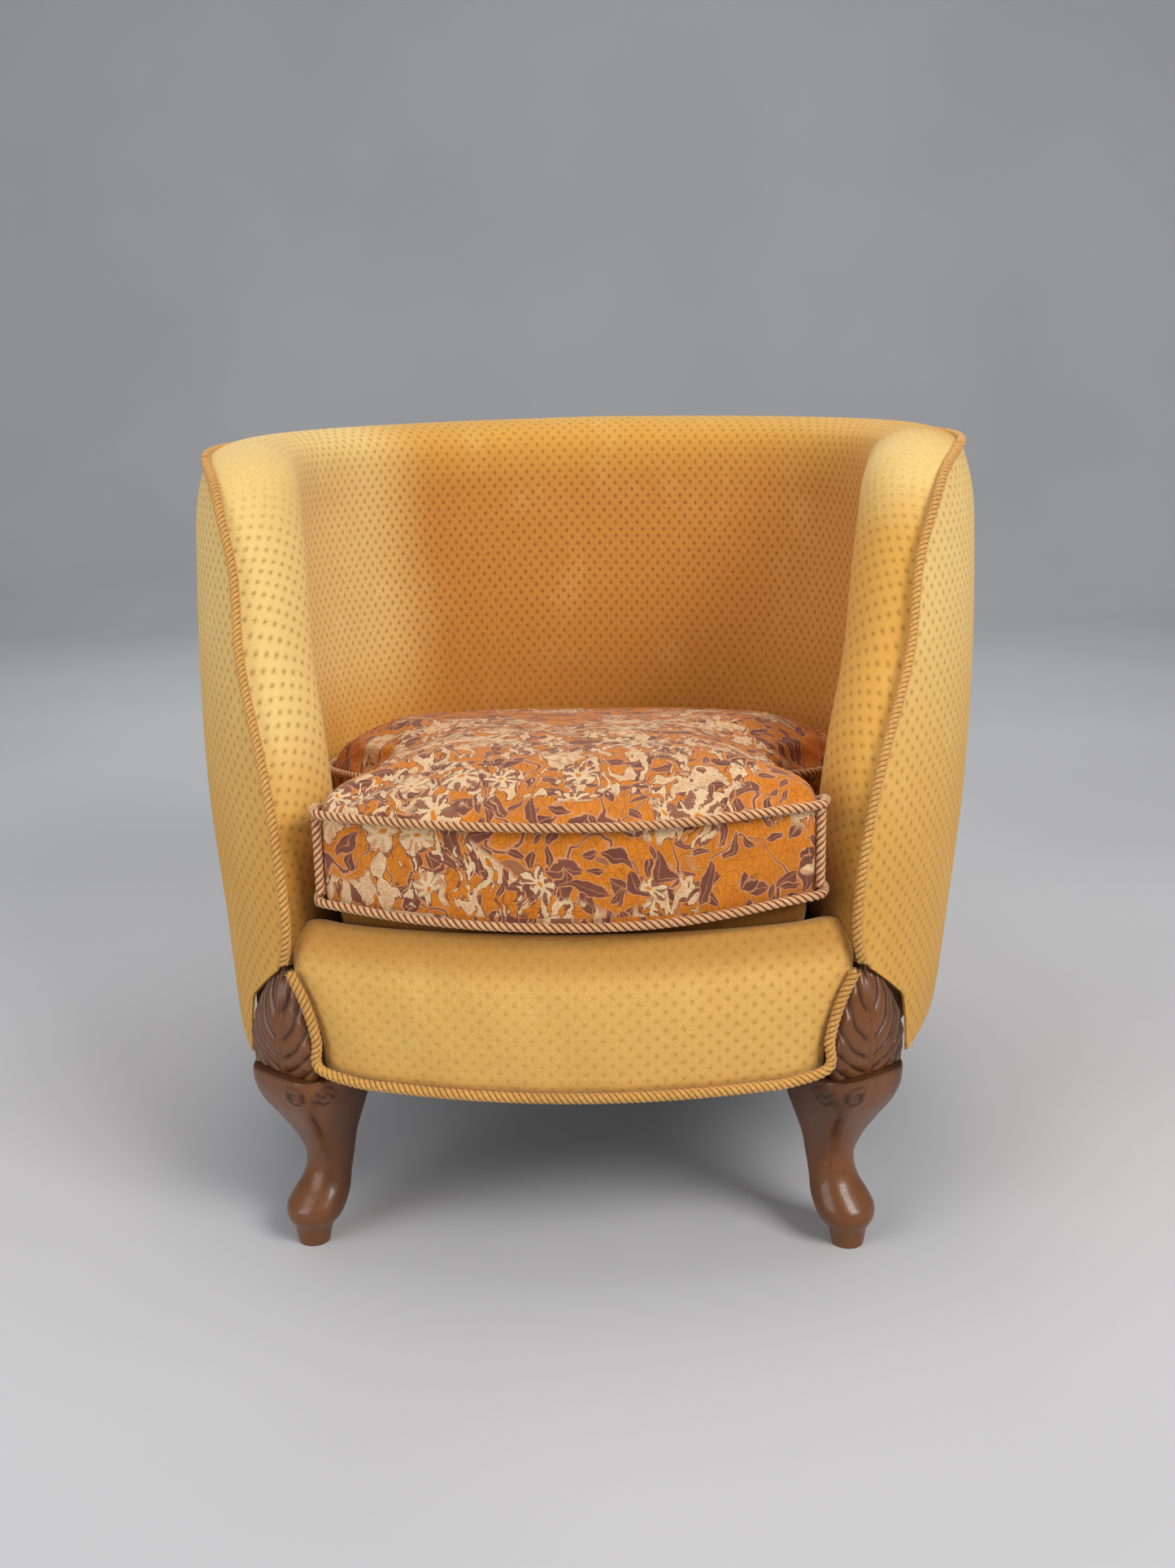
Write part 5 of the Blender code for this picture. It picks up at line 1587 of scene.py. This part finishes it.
class ARMCHAIR_OT_front_legs(bpy.types.Operator):
    """Shapes the walnut cabriole legs and carves the knees above them"""

    bl_idname = "armchair.front_legs"
    bl_label = "Front legs and knees"

    def execute(self, context):
        sizes = context.scene.armchair_sizes
        for side, sign in SIDES:
            self.wood(f"cabriole_leg_{side}", f"front_leg_{side}", *leg_grid(sign))
            self.wood(f"carved_knee_{side}", f"knee_block_{side}", *knee_grid(sign, sizes.relief))
        return {"FINISHED"}

    def wood(self, name, node, grid, hollow):
        piece = loop_piece(name, grid, FINISHES["walnut"], sharp=50)
        store_hollow(piece, hollow)
        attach(piece, "frame")
        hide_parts(node)


# ---------------------------------------------------------------- under the seat


class ARMCHAIR_OT_seat_inside(bpy.types.Operator):
    """Dresses the sprung seat: its padded deck, the coil springs and the bottom cloth"""

    bl_idname = "armchair.seat_inside"
    bl_label = "Springs and deck"

    def execute(self, context):
        self.deck()
        for number in range(1, 10):
            self.spring(f"seat_spring_{number}")
        self.cloth_sheet("spring_cover", "seat_platform", "hessian", ("seat_spring_5",))
        self.cloth_sheet("bottom_cloth", "frame", "black_cloth", ("front_rail", "back_rail"))
        return {"FINISHED"}

    def deck(self):
        """The deck is the cushion's plan drawn in a little, crowned, with a soft rounded edge."""
        low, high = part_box("seat_deck")
        outline = cushion_outline(200)
        y = CUSHION_MIDDLE_Y + 0.008 + (outline[:, 1] - CUSHION_MIDDLE_Y) * 0.93
        outline = np.stack([outline[:, 0] * 0.955, y], axis=-1)
        outline[:, 1] = np.maximum(outline[:, 1], low[1] + 0.001)
        rings = []
        for scale, share in ((0.3, 0.0), (0.97, 0.0), (0.995, 0.12), (1.0, 0.45), (0.992, 0.75),
                             (0.965, 0.90), (0.90, 0.955), (0.70, 0.98), (0.35, 1.0)):
            x = outline[:, 0] * scale
            y = CUSHION_MIDDLE_Y + (outline[:, 1] - CUSHION_MIDDLE_Y) * scale
            rings.append(np.stack([x, y, np.full(len(x), low[2] + (high[2] - low[2]) * share)], axis=-1))
        grid = np.stack(rings)
        piece = loop_piece("deck_velvet", grid, FINISHES["velvet"], fabric=grid[..., :2])
        # Worn brown and crushed pile at full strength: painted shade, as the deck lies in the cushion's
        # shadow.
        store_light_and_wear(piece, worn=1.0, crushed=1.0)
        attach(piece, "seat_platform")
        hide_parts("seat_deck")

    def spring(self, node):
        """A coil spring: a wire along a helix whose radius is least half way up and whose ends lie flat."""
        low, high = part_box(node)
        middle = ((low + high) / 2).to_tuple()
        wire = 0.0018
        share = np.linspace(0, 1, 260)
        turn = math.tau * 4.0 * share
        radius = 0.026 + 0.011 * (2 * share - 1) ** 2
        z = low[2] + wire + (high[2] - low[2] - 2 * wire) * smoothstep(-0.06, 1.06, share)
        route = np.stack([middle[0] + radius * np.cos(turn), middle[1] + radius * np.sin(turn), z], axis=-1)
        along = unit(np.gradient(route, axis=0))
        side = unit(np.cross(along, (0, 0, 1.0)))
        up = np.cross(side, along)
        tube = route[:, None] + wire * ring_about(side, up, math.tau * np.arange(8) / 8)
        piece = loop_piece(f"coil_{node[-1]}", tube, FINISHES["spring"])
        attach(piece, "frame")
        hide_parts(node)
        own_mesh(piece)

    def cloth_sheet(self, node, body, finish, rests_on):
        """The frame's own flat cloth, merged and dressed as woven cloth."""
        source = NODES[node]
        mesh = source.data.copy()
        mesh.name = f"{node}_woven"
        work = bmesh.new()
        work.from_mesh(mesh)
        bmesh.ops.remove_doubles(work, verts=work.verts, dist=1e-5)
        bmesh.ops.recalc_face_normals(work, faces=work.faces)
        work.to_mesh(mesh)
        area = sum(face.calc_area() for face in work.faces if face.normal.z > 0.9)
        work.free()
        mesh.materials.clear()
        mesh.materials.append(FINISHES[finish])
        piece = bpy.data.objects.new(f"{node}_woven", mesh)
        bpy.context.scene.collection.objects.link(piece)
        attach(piece, body)
        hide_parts(node)


class ARMCHAIR_OT_frame_timber(bpy.types.Operator):
    """Gives the frame's rails, posts, blocks, webbing and back legs their finishes"""

    bl_idname = "armchair.frame_timber"
    bl_label = "Frame and webbing"

    def execute(self, context):
        for name, node in NODES.items():
            if node.hide_render:
                continue
            kind = "beech"
            if name.startswith("back_leg"):
                kind = "back_leg"
            elif name.startswith("web_strap"):
                kind = "webbing"
            node.data.materials.clear()
            node.data.materials.append(FINISHES[kind])
        return {"FINISHED"}


# ---------------------------------------------------------------- stage


class ARMCHAIR_OT_stage(bpy.types.Operator):
    """Sets a pale floor that sweeps up behind, soft studio lights and the camera"""

    bl_idname = "armchair.stage"
    bl_label = "Stage"

    def execute(self, context):
        self.floor()
        self.lights(context.scene)
        self.camera(context.scene)
        return {"FINISHED"}

    def floor(self):
        """A level floor that curves up a quarter circle into a wall behind the chair."""
        turn = np.linspace(0, math.pi / 2, 24)
        reach, bend = 3.2, 1.6
        y = np.concatenate([[-6.0], reach + bend * np.sin(turn), [reach + bend]])
        z = np.concatenate([[0.0], bend * (1 - np.cos(turn)), [6.0]])
        x = np.linspace(-8.0, 8.0, 3)
        grid = np.stack([np.broadcast_to(x[:, None], (3, len(y))), np.broadcast_to(y, (3, len(y))),
                         np.broadcast_to(z, (3, len(y)))], axis=-1)
        recipe = Recipe("pale_floor")
        soft = recipe.noise(recipe.position(), 1.3, detail=2.0)
        tone = recipe.mix(soft.step(0.3, 0.7), colour_of(196, 196, 198), colour_of(202, 202, 204))
        recipe.finish(tone, soft * 0.1 + 0.62, Specular_IOR_Level=0.25)
        floor = new_piece("pale_floor", grid.reshape(-1, 3), [grid_faces(3, len(y))], recipe.material)

    def lights(self, scene):
        for name, place, target, power, size, tint in (
                ("key_light", (2.1, -2.3, 2.5), (0, 0, 0.4), 90.0, 1.5, (1.0, 0.985, 0.96)),
                ("fill_light", (-2.4, -2.4, 1.7), (0, 0, 0.4), 48.0, 2.2, (0.97, 0.985, 1.0)),
                ("top_light", (-0.1, 0.3, 3.3), (0, 0, 0.4), 26.0, 2.4, (1.0, 1.0, 1.0)),
                ("back_light", (-0.5, 2.8, 2.2), (0, 0, 0.6), 16.0, 2.0, (1.0, 1.0, 1.0))):
            lamp = bpy.data.lights.new(name, "AREA")
            lamp.energy = power
            lamp.size = size
            lamp.color = tint
            light = bpy.data.objects.new(name, lamp)
            light.location = place
            light.rotation_euler = (Vector(target) - Vector(place)).to_track_quat("-Z", "Y").to_euler()
            scene.collection.objects.link(light)
        world = bpy.data.worlds.new("soft_room")
        world.use_nodes = True
        world.node_tree.nodes["Background"].inputs[0].default_value = (0.80, 0.82, 0.86, 1.0)
        world.node_tree.nodes["Background"].inputs[1].default_value = 0.36
        scene.world = world
        scene.view_settings.view_transform = "Standard"

    def camera(self, scene):
        """The eye stands in front, a little above the rim, and looks slightly down and to its left."""
        yaw, pitch, roll = (math.radians(turn) for turn in (-2.925, 14.142, -1.245))
        ahead = Vector((math.sin(yaw) * math.cos(pitch), math.cos(yaw) * math.cos(pitch), -math.sin(pitch)))
        level = Vector((math.cos(yaw), -math.sin(yaw), 0.0))
        above = level.cross(ahead)
        right = level * math.cos(roll) + above * math.sin(roll)
        top = above * math.cos(roll) - level * math.sin(roll)
        lens = bpy.data.cameras.new("camera")
        lens.lens = 37.34
        lens.sensor_width = 36.0
        eye = bpy.data.objects.new("camera", lens)
        turned = Matrix((right, top, -ahead)).transposed().to_4x4()
        eye.matrix_world = Matrix.Translation((0.0820, -1.5914, 0.7390)) @ turned
        scene.collection.objects.link(eye)
        scene.camera = eye


class ARMCHAIR_PT_panel(bpy.types.Panel):
    """Sizes, colours and the steps that build the armchair"""

    bl_idname = "ARMCHAIR_PT_panel"
    bl_label = "Upholstered tub armchair"
    bl_space_type = "VIEW_3D"
    bl_region_type = "UI"
    bl_category = "Armchair"

    def draw(self, context):
        for group, title in ((context.scene.armchair_sizes, "Sizes"),
                             (context.scene.armchair_finish, "Finish")):
            box = self.layout.box()
            box.label(text=title)
            for setting in group.__annotations__:
                box.prop(group, setting)
        for step in STEPS:
            self.layout.operator(step.bl_idname)


STEPS = (
    ARMCHAIR_OT_stage, ARMCHAIR_OT_inside_velvet, ARMCHAIR_OT_outside_covers, ARMCHAIR_OT_front_border,
    ARMCHAIR_OT_seam_cords, ARMCHAIR_OT_cushion, ARMCHAIR_OT_cushion_cords, ARMCHAIR_OT_front_legs,
    ARMCHAIR_OT_seat_inside, ARMCHAIR_OT_frame_timber,
)
CLASSES = (ArmchairSizes, ArmchairFinish, *STEPS, ARMCHAIR_PT_panel)


def register():
    for kind in CLASSES:
        bpy.utils.register_class(kind)
    bpy.types.Scene.armchair_sizes = bpy.props.PointerProperty(type=ArmchairSizes)
    bpy.types.Scene.armchair_finish = bpy.props.PointerProperty(type=ArmchairFinish)


def unregister():
    del bpy.types.Scene.armchair_finish
    del bpy.types.Scene.armchair_sizes
    for kind in reversed(CLASSES):
        bpy.utils.unregister_class(kind)


def main():
    register()
    make_finishes(bpy.context.scene.armchair_finish)
    for step in STEPS:
        group, name = step.bl_idname.split(".")
        getattr(getattr(bpy.ops, group), name)()


if __name__ == "__main__":
    main()
